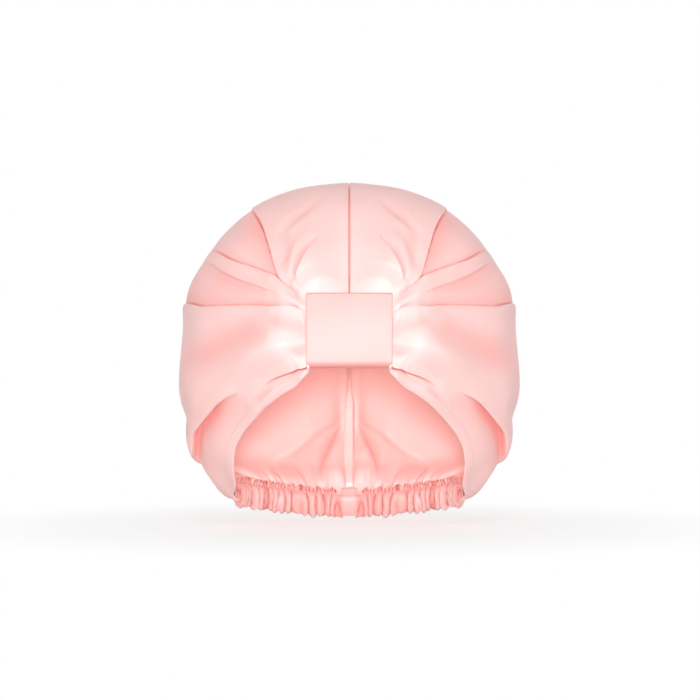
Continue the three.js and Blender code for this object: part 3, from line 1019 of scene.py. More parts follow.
def settled(piece: Piece) -> Piece:
    """Turns a piece's modifiers into a plain mesh.

    Args:
        piece: the piece.

    Returns:
        The same piece.
    """
    drawn = piece.evaluated_get(bpy.context.evaluated_depsgraph_get())
    mesh = bpy.data.meshes.new_from_object(drawn)
    piece.modifiers.clear()
    old = piece.data
    piece.data = mesh
    bpy.data.meshes.remove(old)
    mesh.name = piece.name
    return piece


def cloth_lengths(points: Array) -> Array:
    """Lengths along the cloth, as a map.

    Args:
        points: rows of points in millimetres.

    Returns:
        Millimetres from the first column and from the first row.
    """
    across = np.linalg.norm(np.diff(points, axis=1), axis=-1).cumsum(1)
    along = np.linalg.norm(np.diff(points, axis=0), axis=-1).cumsum(0)
    return np.stack([np.pad(across, ((0, 0), (1, 0))), np.pad(along, ((1, 0), (0, 0)))], -1)


def cloth_piece(
    name: str, points: Array, material: Material, flipped: bool, thickness: float,
    shade: Array | None = None, closed: bool = False,
) -> Piece:
    """A sheet of cloth through a grid of points.

    Args:
        name: the piece's name.
        points: rows of points in millimetres, whose columns run to the left of the rows seen from outside.
        material: its finish.
        flipped: True for a mirrored grid, whose faces would look inwards.
        thickness: the cloth's thickness in millimetres, which goes inwards, or 0 for a single face.
        shade: painted shade of each point.
        closed: True where the last column meets the first.

    Returns:
        The piece.
    """
    rows, columns = points.shape[:2]
    index = np.arange(rows * columns).reshape(rows, columns)
    if closed:
        index = np.concatenate([index, index[:, :1]], 1)
    quads = np.stack([index[:-1, :-1], index[:-1, 1:], index[1:, 1:], index[1:, :-1]], -1).reshape(-1, 4)
    if flipped:
        quads = quads[:, ::-1]
    mesh = bpy.data.meshes.new(name)
    mesh.from_pydata((points.reshape(-1, 3) * MM).tolist(), [], quads.tolist())
    used = np.zeros(len(mesh.loops), np.int32)
    mesh.loops.foreach_get("vertex_index", used)
    lengths = cloth_lengths(points).reshape(-1, 2)
    mesh.uv_layers.new(name=CLOTH_MAP).uv.foreach_set("vector", lengths[used].astype(np.float32).ravel())
    fold = mesh.attributes.new(PAINTED_SHADE, "FLOAT", "POINT")
    if shade is not None:
        fold.data.foreach_set("value", shade.astype(np.float32).ravel())
    mesh.materials.append(material)
    mesh.shade_smooth()
    piece = new_piece(name, mesh)
    if thickness == 0:
        return piece
    wall = piece.modifiers.new("wall", "SOLIDIFY")
    wall.thickness = thickness * MM
    wall.offset = -1
    wall.use_rim = True
    return settled(piece)


def dress(piece: Piece, slot: str, body: Body, node: str = "", **sheet: Any) -> Piece:
    """Hides the part that a piece replaces, and makes the piece move with what it moves with.

    Args:
        piece: the piece.
        slot: not used.
        body: what it moves with.
        node: the node that it replaces, if it does.
        sheet: not used.

    Returns:
        The same piece.
    """
    if node:
        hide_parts(node)
    if body is Body.BOTH:
        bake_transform(piece)
    else:
        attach(piece, body.value)
    return piece


class ThreadTree:
    """A Geometry Nodes tree that sews along the edges of a mesh, in separate stitches."""

    def __init__(self, material: Material) -> None:
        """Builds the tree.

        Args:
            material: the thread's finish.
        """
        self.material = material
        self.tree = tree = bpy.data.node_groups.new("row_of_stitches", "GeometryNodeTree")
        sockets = tree.interface
        sockets.new_socket("Path", in_out="INPUT", socket_type="NodeSocketGeometry")
        for name in ("Stitch Length", "Stitch Spacing", "Thread Thickness"):
            sockets.new_socket(name, in_out="INPUT", socket_type="NodeSocketFloat")
        sockets.new_socket("Thread", in_out="INPUT", socket_type="NodeSocketMaterial")
        sockets.new_socket("Stitches", in_out="OUTPUT", socket_type="NodeSocketGeometry")
        given = add_node(tree, "NodeGroupInput").outputs
        path = add_node(tree, "GeometryNodeMeshToCurve", {"Mesh": given["Path"]})
        steps = {"Curve": path, "Length": given["Stitch Spacing"]}
        spots = add_node(tree, "GeometryNodeCurveToPoints", steps, mode="LENGTH")
        strand = add_node(tree, "GeometryNodeMeshUVSphere", {"Segments": 6, "Rings": 4, "Radius": 0.5})
        thick = given["Thread Thickness"]
        size = add_node(tree, "ShaderNodeCombineXYZ", {0: given["Stitch Length"], 1: thick, 2: thick})
        stitch = add_node(tree, "GeometryNodeTransform", {"Geometry": strand, "Scale": size})
        tangent = {"Vector": spots.outputs["Tangent"]}
        way = add_node(tree, "FunctionNodeAlignRotationToVector", tangent, axis="X")
        places = {"Points": spots, "Instance": stitch, "Rotation": way}
        laid = add_node(tree, "GeometryNodeInstanceOnPoints", places)
        real = add_node(tree, "GeometryNodeRealizeInstances", {"Geometry": laid})
        rounded = add_node(tree, "GeometryNodeSetShadeSmooth", {"Geometry": real})
        finish = {"Geometry": rounded, "Material": given["Thread"]}
        dressed = add_node(tree, "GeometryNodeSetMaterial", finish)
        add_node(tree, "NodeGroupOutput", {"Stitches": dressed})
        self.inputs = {item.name: item.identifier for item in sockets.items_tree if item.in_out == "INPUT"}

    def sew(
        self, name: str, paths: list[Array],
        length: float = 1.7, spacing: float = 2.4, thickness: float = 0.38,
    ) -> Piece:
        """Sews rows of stitches, in millimetres.

        Args:
            name: the piece's name.
            paths: the rows, each a list of points.
            length: length of a stitch.
            spacing: from one stitch to the next.
            thickness: of the thread.

        Returns:
            All the stitches as one piece.
        """
        points: list[list[float]] = []
        edges: list[tuple[int, int]] = []
        for path in paths:
            first = len(points)
            points.extend((path * MM).tolist())
            edges.extend((first + i, first + i + 1) for i in range(len(path) - 1))
        mesh = bpy.data.meshes.new(name)
        mesh.from_pydata(points, edges, [])
        piece = new_piece(name, mesh)
        sewing = piece.modifiers.new("sewing", "NODES")
        sewing.node_group = self.tree
        sizes = {"Stitch Length": length, "Stitch Spacing": spacing, "Thread Thickness": thickness}
        for label, value in sizes.items():
            sewing[self.inputs[label]] = value * MM
        sewing[self.inputs["Thread"]] = self.material
        return settled(piece)


@dataclass
class CrownPanels:
    """The two pleated panels that make the crown, joined by the centre seam."""

    crown: Crown
    satin: Material
    cloth: float = 0.4  # thickness of the satin, in millimetres
    row_ends: tuple[float, ...] = (0, 0.2, 0.86, 1)  # of stretches between band and nape
    row_counts: tuple[int, ...] = (110, 92, 84)  # rows in each stretch
    strips: tuple[int, ...] = (32, 34, 26, 20, 24, 44, 20, 20)  # columns between seam, pleats and face edge
    crowding: float = 0.86  # how closely columns crowd up to a pleat's edge, from 0 to 1
    uncrowded: Pair = (0.6, 0.85)  # where they stop crowding
    roll: float = 0.9  # radius of the turn of cloth along the face edge
    lip: float = 2.2  # how far the turned cloth runs back inside
    flat_size: Pair = (0.33, 0.36)
    flat_area: float = 0.088  # of one panel's cut, in square metres

    def rows(self) -> Array:
        """Spaces the rows from band to nape, closer together near both ends.

        Returns:
            Their places.
        """
        stretches = zip(self.row_ends[:-1], self.row_ends[1:], self.row_counts)
        parts = [np.linspace(low, high, count)[:-1] for low, high, count in stretches]
        return np.concatenate([*parts, [1]])

    def columns(self, t: Array) -> Array:
        """Places of the columns from seam to face edge, which follow the pleats.

        Args:
            t: places of the rows.

        Returns:
            The places, for each row.
        """
        marks = [np.zeros_like(t), *(spline(pleat.path, t) for pleat in PLEATS), np.ones_like(t)]
        crowding = self.crowding * (1 - smooth(*self.uncrowded, t))[:, None]
        parts = [marks[0][:, None]]
        for low, high, count in zip(marks[:-1], marks[1:], self.strips):
            share = np.linspace(0, 1, count + 1)[None, 1:]
            share = share - crowding * np.sin(WHOLE * share) / WHOLE
            parts.append(low[:, None] + (high - low)[:, None] * share)
        return np.concatenate(parts, 1)

    def grid(self) -> tuple[Array, Array]:
        """The right panel with its rolled face edge.

        Returns:
            The points, and their shade.
        """
        t = self.rows()
        s = self.columns(t)
        points, normals, shade = self.crown.cloth(s, np.broadcast_to(t[:, None], s.shape), self.cloth / 2)
        edge, normal = points[:, -1], normals[:, -1]
        outward = unit(edge - points[:, -4])
        outward = unit(outward - normal * (outward * normal).sum(-1, keepdims=True))
        turned = rolled(edge, outward, normal, self.roll, self.lip)
        shade = np.concatenate([shade, np.repeat(shade[:, -1:], turned.shape[1], 1)], 1)
        return np.concatenate([points, turned], 1), shade

    def build(self) -> Iterator[Piece]:
        """Makes both panels.

        Returns:
            The pieces, one by one.
        """
        points, shade = self.grid()
        for side in Side:
            name = side.of("crown_panel")
            flipped = side is Side.LEFT
            piece = cloth_piece(f"{name}_satin", side.half(points), self.satin, flipped, 0, shade)
            yield dress(
                piece, "satin", Body.BOTH, name,
                flat=self.flat_size, held="gathered", rests_on=["front_band"], area=self.flat_area,
            )


@dataclass
class BrimFacings:
    """The turned strips behind the face edge, and the stitches that hold them."""

    crown: Crown
    satin: Material
    thread: ThreadTree
    width: float = 12  # of a strip, in millimetres
    inset: float = 1.6  # how far the strip stays in from the face edge
    cloth: float = 0.5
    depth: float = 1.0  # how far it lies behind the panel's face
    reach: Pair = (0.03, 0.985)  # its ends between band and nape
    stitch_reach: Pair = (0.05, 0.97)
    stitch_inset: float = 1  # of the stitches from the hem's inner edge
    stitch_lift: float = 0.25  # of the stitches out of the cloth's middle
    stitch_thickness: float = 0.26
    flat_size: Pair = (0.013, 0.19)

    def build(self) -> Iterator[Piece]:
        """Makes both strips, and sews the hem along both face edges from the outside.

        Returns:
            The pieces, one by one.
        """
        t = np.linspace(*self.reach, 150)
        inner, outer = (self.crown.from_edge(t, width)[:, None] for width in (self.width, self.inset))
        s = inner + (outer - inner) * np.linspace(0, 1, 22)
        points, _, shade = self.crown.cloth(s, np.broadcast_to(t[:, None], s.shape), -self.depth)
        for side in Side:
            name = side.of("brim_facing")
            half = side.half(points)
            piece = cloth_piece(f"{name}_strip", half, self.satin, side is Side.LEFT, self.cloth, shade)
            yield dress(
                piece, "satin_trim", Body.BOTH, name,
                flat=self.flat_size, held="folded", rests_on=[side.of("crown_panel_satin")],
            )
        t = np.linspace(*self.stitch_reach, 260)
        s = self.crown.from_edge(t, self.crown.hem - self.stitch_inset)
        path = self.crown.cloth(s, t, self.stitch_lift)[0]
        for side in Side:
            name = side.of("brim_stitches")
            piece = self.thread.sew(name, [side.half(path)], thickness=self.stitch_thickness)
            yield dress(piece, "thread", Body.BOTH)


@dataclass
class SeamBinding:
    """The bound seam allowance, which runs inside the crown along the centre seam.

    Over the head it is folded up into a narrow ridge. Down the back it lies flat, with its stitches showing.
    """

    crown: Crown
    satin: Material
    thread: ThreadTree
    ridge_width: float = 3.4  # over the head, in millimetres
    flat_width: float = 7.6  # down the back
    opens: Pair = (0.845, 0.88)  # where the ridge begins to lie flat, and where it is flat
    ridge_height: float = 2.2
    flat_height: float = 1.3
    depth: float = 0.2  # of its edges behind the cloth's middle
    cloth: float = 0.4
    reach: Pair = (0.03, 0.993)  # its ends between band and nape
    edge_shade: float = 1.7  # painted shadow line along its right edge
    edge_from: Pair = (0.72, 0.98)  # where across it the shade begins, and is full
    stitch_reach: Pair = (0.005, 0.985)  # the row's start past the tack, and its end
    stitch_row: float = 0.62  # its place across
    stitch_lift: float = 0.12
    tack: Pair = (-0.6, 0.3)  # the tack's ends across
    tack_lift: float = 0.2
    stitch_thickness: float = 0.4
    flat_size: Pair = (0.011, 0.36)

    def section(self, t: Array, across: Array, offset: float) -> Array:
        """Points of the binding.

        Args:
            t: from band to nape.
            across: shares of its width, from -1 to 1.
            offset: millimetres into the bonnet.

        Returns:
            Rows of points, one row for each place.
        """
        flat = smooth(*self.opens, t)
        half = (self.ridge_width + (self.flat_width - self.ridge_width) * flat) / 2
        stands = self.ridge_height + (self.flat_height - self.ridge_height) * flat
        spine, normal, _ = self.crown.cloth(np.zeros_like(t), t, -self.depth)
        normal = unit(normal * np.array([0, 1, 1]))
        inward = stands[:, None] * (1 - np.abs(across) ** 4) ** 0.5 + offset
        points = spine[:, None] - normal[:, None] * inward[..., None]
        points[..., 0] = half[:, None] * across
        return points

    def build(self) -> Iterator[Piece]:
        """Makes the binding, and sews it down along its right side, from a tack where it lies flat.

        Returns:
            The pieces, one by one.
        """
        t = np.linspace(*self.reach, 170)
        across = np.sin(np.linspace(-QUARTER, QUARTER, 21))
        # Painted shadow line along the binding's right edge
        shade = self.edge_shade * smooth(*self.opens, t)[:, None] * smooth(*self.edge_from, across)
        points = self.section(t, across, 0)
        piece = cloth_piece("centre_seam_binding_strip", points, self.satin, True, self.cloth, shade)
        yield dress(
            piece, "satin_trim", Body.BOTH, "centre_seam_binding",
            flat=self.flat_size, held="folded", rests_on=[side.of("crown_panel_satin") for side in Side],
        )
        flat = self.opens[1]
        past, end = self.stitch_reach
        row = self.section(np.linspace(flat + past, end, 120), np.array([self.stitch_row]), self.stitch_lift)
        tack = self.section(np.full(1, flat), np.linspace(*self.tack, 8), self.tack_lift)
        paths = [row[:, 0], tack[0]]
        piece = self.thread.sew("binding_stitches", paths, thickness=self.stitch_thickness)
        yield dress(piece, "thread", Body.BOTH)


@dataclass
class FrontBand:
    """The strip of satin folded under the pleated ends of both panels."""

    width: float
    height: float
    bottom: float  # height of its fold
    front: float  # place of its front wall
    depth: float  # from its front wall to its back wall
    satin: Material
    thread: ThreadTree
    back_height: float = 40
    fold: float = 6.0  # rounding of the folds at its bottom
    roll: float = 0.75  # rounding of its turned sides and top
    turning: float = 4.0  # how far the turned cloth runs back inside
    swell: float = 1.1  # of the front wall
    unevenness: float = 0.22  # of the front wall
    uneven_waves: tuple[Wave, Wave] = ((5.1, 2.3, 0), (3.7, -6, 1))  # crossing, by width, height and phase
    under_from: Pair = (-0.05, -0.8)  # how far down cloth looks where the painted shade on the bottom fold begins, and is full
    # Painted shadow line along the turned top, and painted shade on the turned sides
    top_shade: float = 1.9
    top_from: Pair = (-0.9, -0.2)  # height from the top where that begins, and is full
    side_shade: float = 0.7
    tuck_shade: float = 0.4  # painted shade towards the top of the front wall
    tuck_from: Pair = (0.4, 1.0)  # share of the wall's height where that begins, and is full
    cloth: float = 0.4
    stitch_inset: float = 2  # of the stitches from the back wall's upper edge
    stitch_lift: float = 0.1
    flat_size: Pair = (0.07, 0.115)

    def profile(self) -> tuple[Array, Array]:
        """The strip's line from its turned top, down the front, under and up the back.

        Returns:
            Points as depth and height from the front wall's foot, and the direction out of the cloth.
        """
        line: list[Array] = []
        way: list[Array] = []

        def arc(depth: float, height: float, radius: float, start: float, end: float, count: int) -> None:
            """Adds a round turn.

            Args:
                depth: of its centre.
                height: of its centre.
                radius: of the turn.
                start: degrees at which it starts.
                end: degrees at which it ends.
                count: how many points it has.
            """
            angle = np.radians(np.linspace(start, end, count))
            way.append(np.stack([np.cos(angle), np.sin(angle)], -1))
            line.append(np.array([depth, height]) + radius * way[-1])

        def wall(depth: float, start: float, end: float, outward: float, count: int) -> None:
            """Adds a flat wall."""
            line.append(np.stack([np.full(count, depth), np.linspace(start, end, count)], -1))
            way.append(np.tile([outward, 0.0], (count, 1)))

        top = self.height - self.roll
        wall(2 * self.roll, top - self.turning, top, 1, 4)
        arc(self.roll, top, self.roll, 0, 180, 9)
        wall(0.0, top - self.roll, self.fold + 1, -1, 40)
        arc(self.fold, self.fold, self.fold, 180, 270, 12)
        arc(self.depth - self.fold, self.fold, self.fold, 270, 360, 12)
        wall(self.depth, self.fold + 1, self.back_height, 1, 24)
        return np.concatenate(line), np.concatenate(way)

    def grid(self) -> tuple[Array, Array]:
        """The band with its turned sides.

        Returns:
            The points, and their shade.
        """
        line, way = self.profile()
        share = np.sin(np.linspace(-QUARTER, QUARTER, 57))
        rise = np.clip((line[:, 1:] - self.fold) / (self.height - self.fold), 0, 1)
        on_front = smooth(self.roll, 0, line[:, :1])
        swell = self.swell * (rise * (1 - rise) * 4) ** 0.6 * (1 - share ** 4)
        one, other = (np.sin(by_x * share + by_z * rise + start) for by_x, by_z, start in self.uneven_waves)
        uneven = one * other * (1 - share ** 6)
        pushed = on_front * (swell + self.unevenness * uneven)
        x = np.broadcast_to((self.width / 2 - self.roll) * share, pushed.shape)
        main = np.stack([x, line[:, :1] + way[:, :1] * pushed, line[:, 1:] + way[:, 1:] * pushed], -1)
        normal = np.pad(way, ((0, 0), (1, 0)))
        left, right = (
            rolled(main[:, end], np.array([sign, 0, 0]), normal, self.roll, self.turning)
            for end, sign in ((0, -1), (-1, 1))
        )
        whole = np.concatenate([left[:, ::-1], main, right], 1)
        # Painted shade on the bottom fold, a painted shadow line along the top and sides, and painted shade
        # on the upper front
        under = smooth(*self.under_from, way[:, 1:]) * (line[:, 1:] < self.fold)
        top_shadow_line = self.top_shade * smooth(*self.top_from, line[:, 1:] - self.height)
        shaded_upper_front = self.tuck_shade * smooth(*self.tuck_from, rise) * on_front
        shade = np.broadcast_to(np.maximum(np.maximum(under, top_shadow_line), shaded_upper_front), whole.shape[:2]).copy()
        shade[:, :left.shape[1]] = shade[:, -right.shape[1]:] = self.side_shade
        return whole + np.array([0, self.front, self.bottom]), shade

    def build(self) -> Iterator[Piece]:
        """Makes the band, and sews its back wall's upper edge to the pleats inside the bonnet.

        Returns:
            The pieces, one by one.
        """
        points, shade = self.grid()
        piece = cloth_piece("front_band_satin", points, self.satin, True, self.cloth, shade)
        yield dress(
            piece, "satin_band", Body.CAP, "front_band",
            flat=self.flat_size, held="folded", rests_on=[side.of("crown_panel_satin") for side in Side],
        )
        reach = self.width / 2 - self.turning
        x = np.linspace(-reach, reach, 60)
        y = np.full_like(x, self.front + self.depth + self.stitch_lift)
        z = np.full_like(x, self.bottom + self.back_height - self.stitch_inset)
        yield dress(self.thread.sew("band_stitches", [np.stack([x, y, z], -1)]), "thread", Body.CAP)


@dataclass
class NapeCasing:
    """The gathered casing at the nape, its join tab, and the elastic and tacks inside it."""

    crown: Crown
    satin: Material
    web: Material
    thread: ThreadTree
    heading: float = 3.5  # height of the frill above the stitch line, in millimetres
    wall: float = 1.9  # half the casing's thickness between gathers
    pucker: float = 3.8  # how far a gather stands out
    frill: float = 1.7  # how far the heading waves in and out
    frill_every: float = 0.45  # gathers to a wave of the frill
    ruffle: float = 1.1  # how far the heading waves up and down
    scallop: float = 3.2  # how far gathers hang below the casing's lower edge
    scallop_height: float = 5  # how far up that reaches
    scallop_lean: float = 0.2  # of the hanging gathers, as a share of a gather
    lean_slow: Wave = (0.45, 9, 0.7)  # gathers lean to and fro, by size, number and phase
    lean_quick: Wave = (0.14, 31, 6)  # by size, number along and number up
    creases: Wave = (0.25, 2.1, 9)  # small ones over the gathers, likewise
    crease_level: float = 0.35
    heading_gap: float = 0.45  # half the space between the walls in the heading
    heading_from: float = 8  # height at which it begins
    heading_close: float = 0.4  # how much less of it there is below the stitches
    ruffle_waves: tuple[Wave, ...] = ((1, 2.7, 1.2), (0.6, 1, 0))
    end_height: Pair = (0.35, 5.5)  # how much lower the casing is at its end, and how far up
    end_out: Pair = (0.85, 3.0)  # how much thinner it is there, and how far out
    # Painted shade in the valleys between gathers, under the stitch line and in the frill's loops
    valley_shade: float = 0.9
    valley_powers: Pair = (1.4, 7)  # of a valley's painted soft shade and of its painted shadow line
    stitch_shade: float = 0.5
    stitch_shade_height: float = 0.9
    loop_shade: float = 1.6  # painted shade in the frill's loops
    loop_power: int = 8
    cloth: float = 0.35
    samples: int = 25  # stations in one gather
    end_taper: Pair = (84, 95)  # degrees round, where it narrows and ends
    tab_width: float = 12
    tab_over: float = 1.4  # how far the tab covers the casing
    tab_swell: float = 1.1  # of the tab past the casing
    tab_rise: float = 0.5  # of its top above the casing
    tab_drop: float = 0.3  # of its middle
    tab_extra: float = 0.7  # half of what it is higher than the casing
    tab_squareness: Pair = (0.5, 0.55)  # up and across, squarer towards 0
    tab_pinch: Pair = (0.35, 1.3)  # depth and height of the pinch at the stitch line
    tab_pillow: float = 0.12
    tab_shade: Pair = (0.2, 0.5)  # painted shade all over, and more towards its sides
    elastic_width: float = 12
    elastic_thickness: float = 1.2
    elastic_foot: float = 1.4
    elastic_skin: float = 0.15
    ribs: int = 9
    tack_length: float = 2
    flat_size: Pair = (0.155, 0.042)
    tab_flat_size: Pair = (0.013, 0.046)
    body_rows: tuple[float, ...] = (0, 0.4, 1.4, 3.2, 5.5, 8, 10.5, 12.5, 13.8)  # heights up to the stitches
    frill_rows: tuple[float, ...] = (0, 0.8, 2)  # heights from the stitches
    bulge: tuple[float, ...] = (0, 0.3, 0.62, 0.85, 0.96, 1, 0.94, 0.74, 0.4, 0, 0.1, 0.22, 0.34)  # at each
    stitch_lift: float = 0.12
    tab_sides: Pair = (-0.36, 0.36)  # places of the tab's stitches across it

    def turn_at(self, x: float) -> float:
        """The turn from centre back at which the nape's ring is x wide."""
        return math.asin(x / self.crown.nape_half_width)

    def section(self, turn: Array, facing: Facing) -> tuple[Array, Array]:
        """Points of one wall at each turn, from the lower edge up to the frill.

        Args:
            turn: radians round from centre back.
            facing: the wall that looks into the bonnet or out of it.

        Returns:
            Rows of points, one row for each turn, and their shade.
        """
        gathers = self.crown.gathers
        top = self.crown.casing_height
        stitch = top - self.heading
        up = np.array([*self.body_rows, *(stitch + row for row in self.frill_rows), top])
        body = (up < stitch).astype(float)
        share = up / top
        turn = turn[:, None]
        phase = gathers.phase(turn)
        size, number, start = self.lean_slow
        lean = size * np.sin(number * turn + start) * (share - 0.5)
        size, number, number_up = self.lean_quick
        lean = lean + size * np.sin(number * turn) * np.sin(number_up * share)
        # Gathers of the outer wall lie between those of the inner one
        ridge = gathers.ridge(turn, lean + (0.0 if facing is Facing.IN else 0.5))
        size, number, number_up = self.creases
        small = size * np.abs(np.cos(number * math.pi * phase + number_up * share))
        thick = np.array(self.bulge) * (self.wall + self.pucker * (ridge + small - self.crease_level) * body)
        frilled = self.frill * gathers.ruffle(turn, self.frill_every) * smooth(stitch - 1, top, up)
        gap = self.heading_gap * smooth(self.heading_from, stitch, up) * (1 - body * self.heading_close)
        out = facing.value * (thick + gap) + frilled
        waves = sum(
            size * np.sin(WHOLE * number * phase + start) for size, number, start in self.ruffle_waves
        )
        ruffled = self.ruffle * waves * smooth(stitch, top, up)
        low = 1 - smooth(0, self.scallop_height, up)
        hang = -self.scallop * gathers.ridge(turn, self.scallop_lean) * low
        narrowed = smooth(*np.radians(self.end_taper), turn)
        less, moved = self.end_height
        height = (up + ruffled + hang) * (1 - less * narrowed) + moved * narrowed
        less, moved = self.end_out
        out = out * (1 - less * narrowed) + moved * narrowed
        # Painted shade in the valleys, under the stitches and in the loops
        sunk = 1 - np.clip(ridge, 0, 1)
        soft, narrow = self.valley_powers
        valley = self.valley_shade * (sunk ** soft + sunk ** narrow) * body
        by_stitches = hump((up - stitch) / self.stitch_shade_height)
        valley = valley + self.stitch_shade * (1 - body) * by_stitches
        loops = 0.5 - 0.5 * np.cos(WHOLE * phase / self.frill_every)
        loops = self.loop_shade * loops ** self.loop_power * smooth(stitch, stitch + 1, up)
        valley = np.maximum(valley, loops)
        return self.crown.nape_point(turn + np.zeros_like(out), out, height), valley

    def build(self) -> Iterator[Piece]:
        """Makes the casing with all that belongs to it.

        Returns:
            The pieces, one by one.
        """
        yield from self.build_halves()
        yield self.build_tab()
        yield self.build_elastic()
        yield from self.stitch()
        yield from self.tack()

    def build_halves(self) -> Iterator[Piece]:
        """Makes both halves of the casing.

        Returns:
            The pieces, one by one.
        """
        start = self.turn_at(self.tab_width / 2 - self.tab_over)
        turn = np.linspace(start, math.radians(self.end_taper[1]), self.crown.gathers.count * self.samples)
        walls = zip(self.section(turn, Facing.IN), self.section(turn, Facing.OUT))
        points, shade = (np.concatenate([inner[:, ::-1], outer[:, 1:]], 1) for inner, outer in walls)
        for side in Side:
            name = side.of("nape_casing")
            half = side.half(points)
            piece = cloth_piece(f"{name}_satin", half, self.satin, side is Side.RIGHT, self.cloth, shade)
            yield dress(
                piece, "satin_casing", Body.NAPE, name,
                flat=self.flat_size, held="gathered", rests_on=["nape_elastic"],
            )

    def build_tab(self) -> Piece:
        """Makes the plain sleeve over the elastic's join.

        Returns:
            The piece.
        """
        half = self.turn_at(self.tab_width / 2)
        turn = half * np.sin(np.linspace(-QUARTER, QUARTER, 25))[:, None]
        top = self.crown.casing_height + self.tab_rise
        angle = np.linspace(0, WHOLE, 48, endpoint=False)
        square_up, square_across = self.tab_squareness
        up = top / 2 - self.tab_drop + (top / 2 + self.tab_extra) * signed_power(np.sin(angle), square_up)
        deep, high = self.tab_pinch
        pinch = 1 - deep * hump((up - (top - self.heading)) / high)
        pillow = 1 + self.tab_pillow * np.cos(turn / half * QUARTER)
        out = (self.wall + self.tab_swell) * signed_power(np.cos(angle), square_across) * pinch * pillow
        points = self.crown.nape_point(turn + np.zeros_like(out), out, up)
        # Painted shade on the tab, stronger towards its sides
        level, sides = self.tab_shade
        shade = np.broadcast_to(level + sides * np.abs(turn / half) ** 6, out.shape)
        piece = cloth_piece("nape_join_tab_satin", points, self.satin, True, self.cloth, shade, closed=True)
        return dress(
            piece, "satin_casing", Body.NAPE, "nape_join_tab",
            flat=self.tab_flat_size, held="folded", rests_on=["nape_elastic"],
        )

    def build_elastic(self) -> Piece:
        """Makes the ribbed elastic inside the casing.

        Returns:
            The piece.
        """
        end = math.radians(self.crown.casing_end) - self.tack_length / self.crown.nape_depth
        share = np.linspace(0, 1, 6 * self.ribs + 1)
        rib = 0.7 + 0.3 * np.abs(np.sin(math.pi * self.ribs * share)) ** 0.6
        rib[0] = rib[-1] = 0.3
        half = self.elastic_thickness / 2 * rib
        up = self.elastic_foot + self.elastic_width * share
        out = np.broadcast_to(np.concatenate([half, -half[::-1]]), (121, 2 * len(half)))
        turn = np.linspace(-end, end, len(out))[:, None] + np.zeros_like(out)
        points = self.crown.nape_point(turn, out, np.concatenate([up, up[::-1]]))
        piece = cloth_piece("nape_elastic_web", points, self.web, False, self.elastic_skin, closed=True)
        return dress(piece, "elastic", Body.NAPE, "nape_elastic")

    def upright(self, turn: float, out: float, low: float, high: float, count: int) -> Array:
        """A row of points up the casing, at a turn and a distance out of its middle."""
        rise = np.linspace(low, high, count)
        return self.crown.nape_point(np.full_like(rise, turn), np.full_like(rise, out), rise)

    def stitch(self) -> Iterator[Piece]:
        """Sews the stitch line under the frill, and the tab's two sides.

        Returns:
            The pieces, one by one.
        """
        start = self.turn_at(self.tab_width / 2 + 0.4)
        turn = np.linspace(start, math.radians(self.crown.casing_end - 1), 500)
        paths = []
        for facing in Facing:
            row = self.section(turn, facing)[0][:, len(self.body_rows)]
            path = row + self.crown.across(turn) * facing.value * self.stitch_lift
            paths.extend(side.half(path) for side in Side)
        piece = self.thread.sew("casing_stitches", paths, spacing=2.1, thickness=0.34)
        yield dress(piece, "thread", Body.NAPE)
        out = (self.wall + self.tab_swell) * 1.1
        top = self.crown.casing_height - 1.5
        sides = [
            self.upright(self.turn_at(place * self.tab_width), facing.value * out, 2, top, 30)
            for place in self.tab_sides for facing in Facing
        ]
        yield dress(self.thread.sew("tab_stitches", sides, spacing=2.2, thickness=0.3), "thread", Body.NAPE)

    def tack(self) -> Iterator[Piece]:
        """Sews the dense bars that stop the elastic at the casing's ends.

        Returns:
            The pieces, one by one.
        """
        end = math.radians(self.crown.casing_end)
        turns = np.linspace(end - self.tack_length / self.crown.nape_depth, end, 5)
        foot = self.elastic_foot
        bars = [
            self.upright(turn, facing.value * 0.35, foot, foot + self.elastic_width, 40)
            for facing in Facing for turn in turns
        ]
        for side in Side:
            name = side.of("elastic_tack")
            paths = [side.half(bar) for bar in bars]
            piece = self.thread.sew(f"{name}_thread", paths, length=2.6, spacing=1.5, thickness=0.7)
            yield dress(piece, "thread", Body.NAPE, name)


@dataclass(frozen=True)
class Lamp:
    """A square soft lamp that looks at the bonnet, in metres and watts."""

    name: str
    place: tuple[float, float, float]
    size: float
    power: float


LAMPS = (
    Lamp("front_lamp", (0.0, -2.4, 0.3), 0.35, 44),
    Lamp("back_lamp", (0.0, 0.8, 0.06), 0.2, 4.8),
    Lamp("top_lamp", (0.0, -1.4, 1.6), 0.5, 11.5),
    Lamp("left_lamp", (-2.0, -0.4, 0.25), 0.35, 5),
    Lamp("right_lamp", (2.0, -0.4, 0.25), 0.35, 5),
)


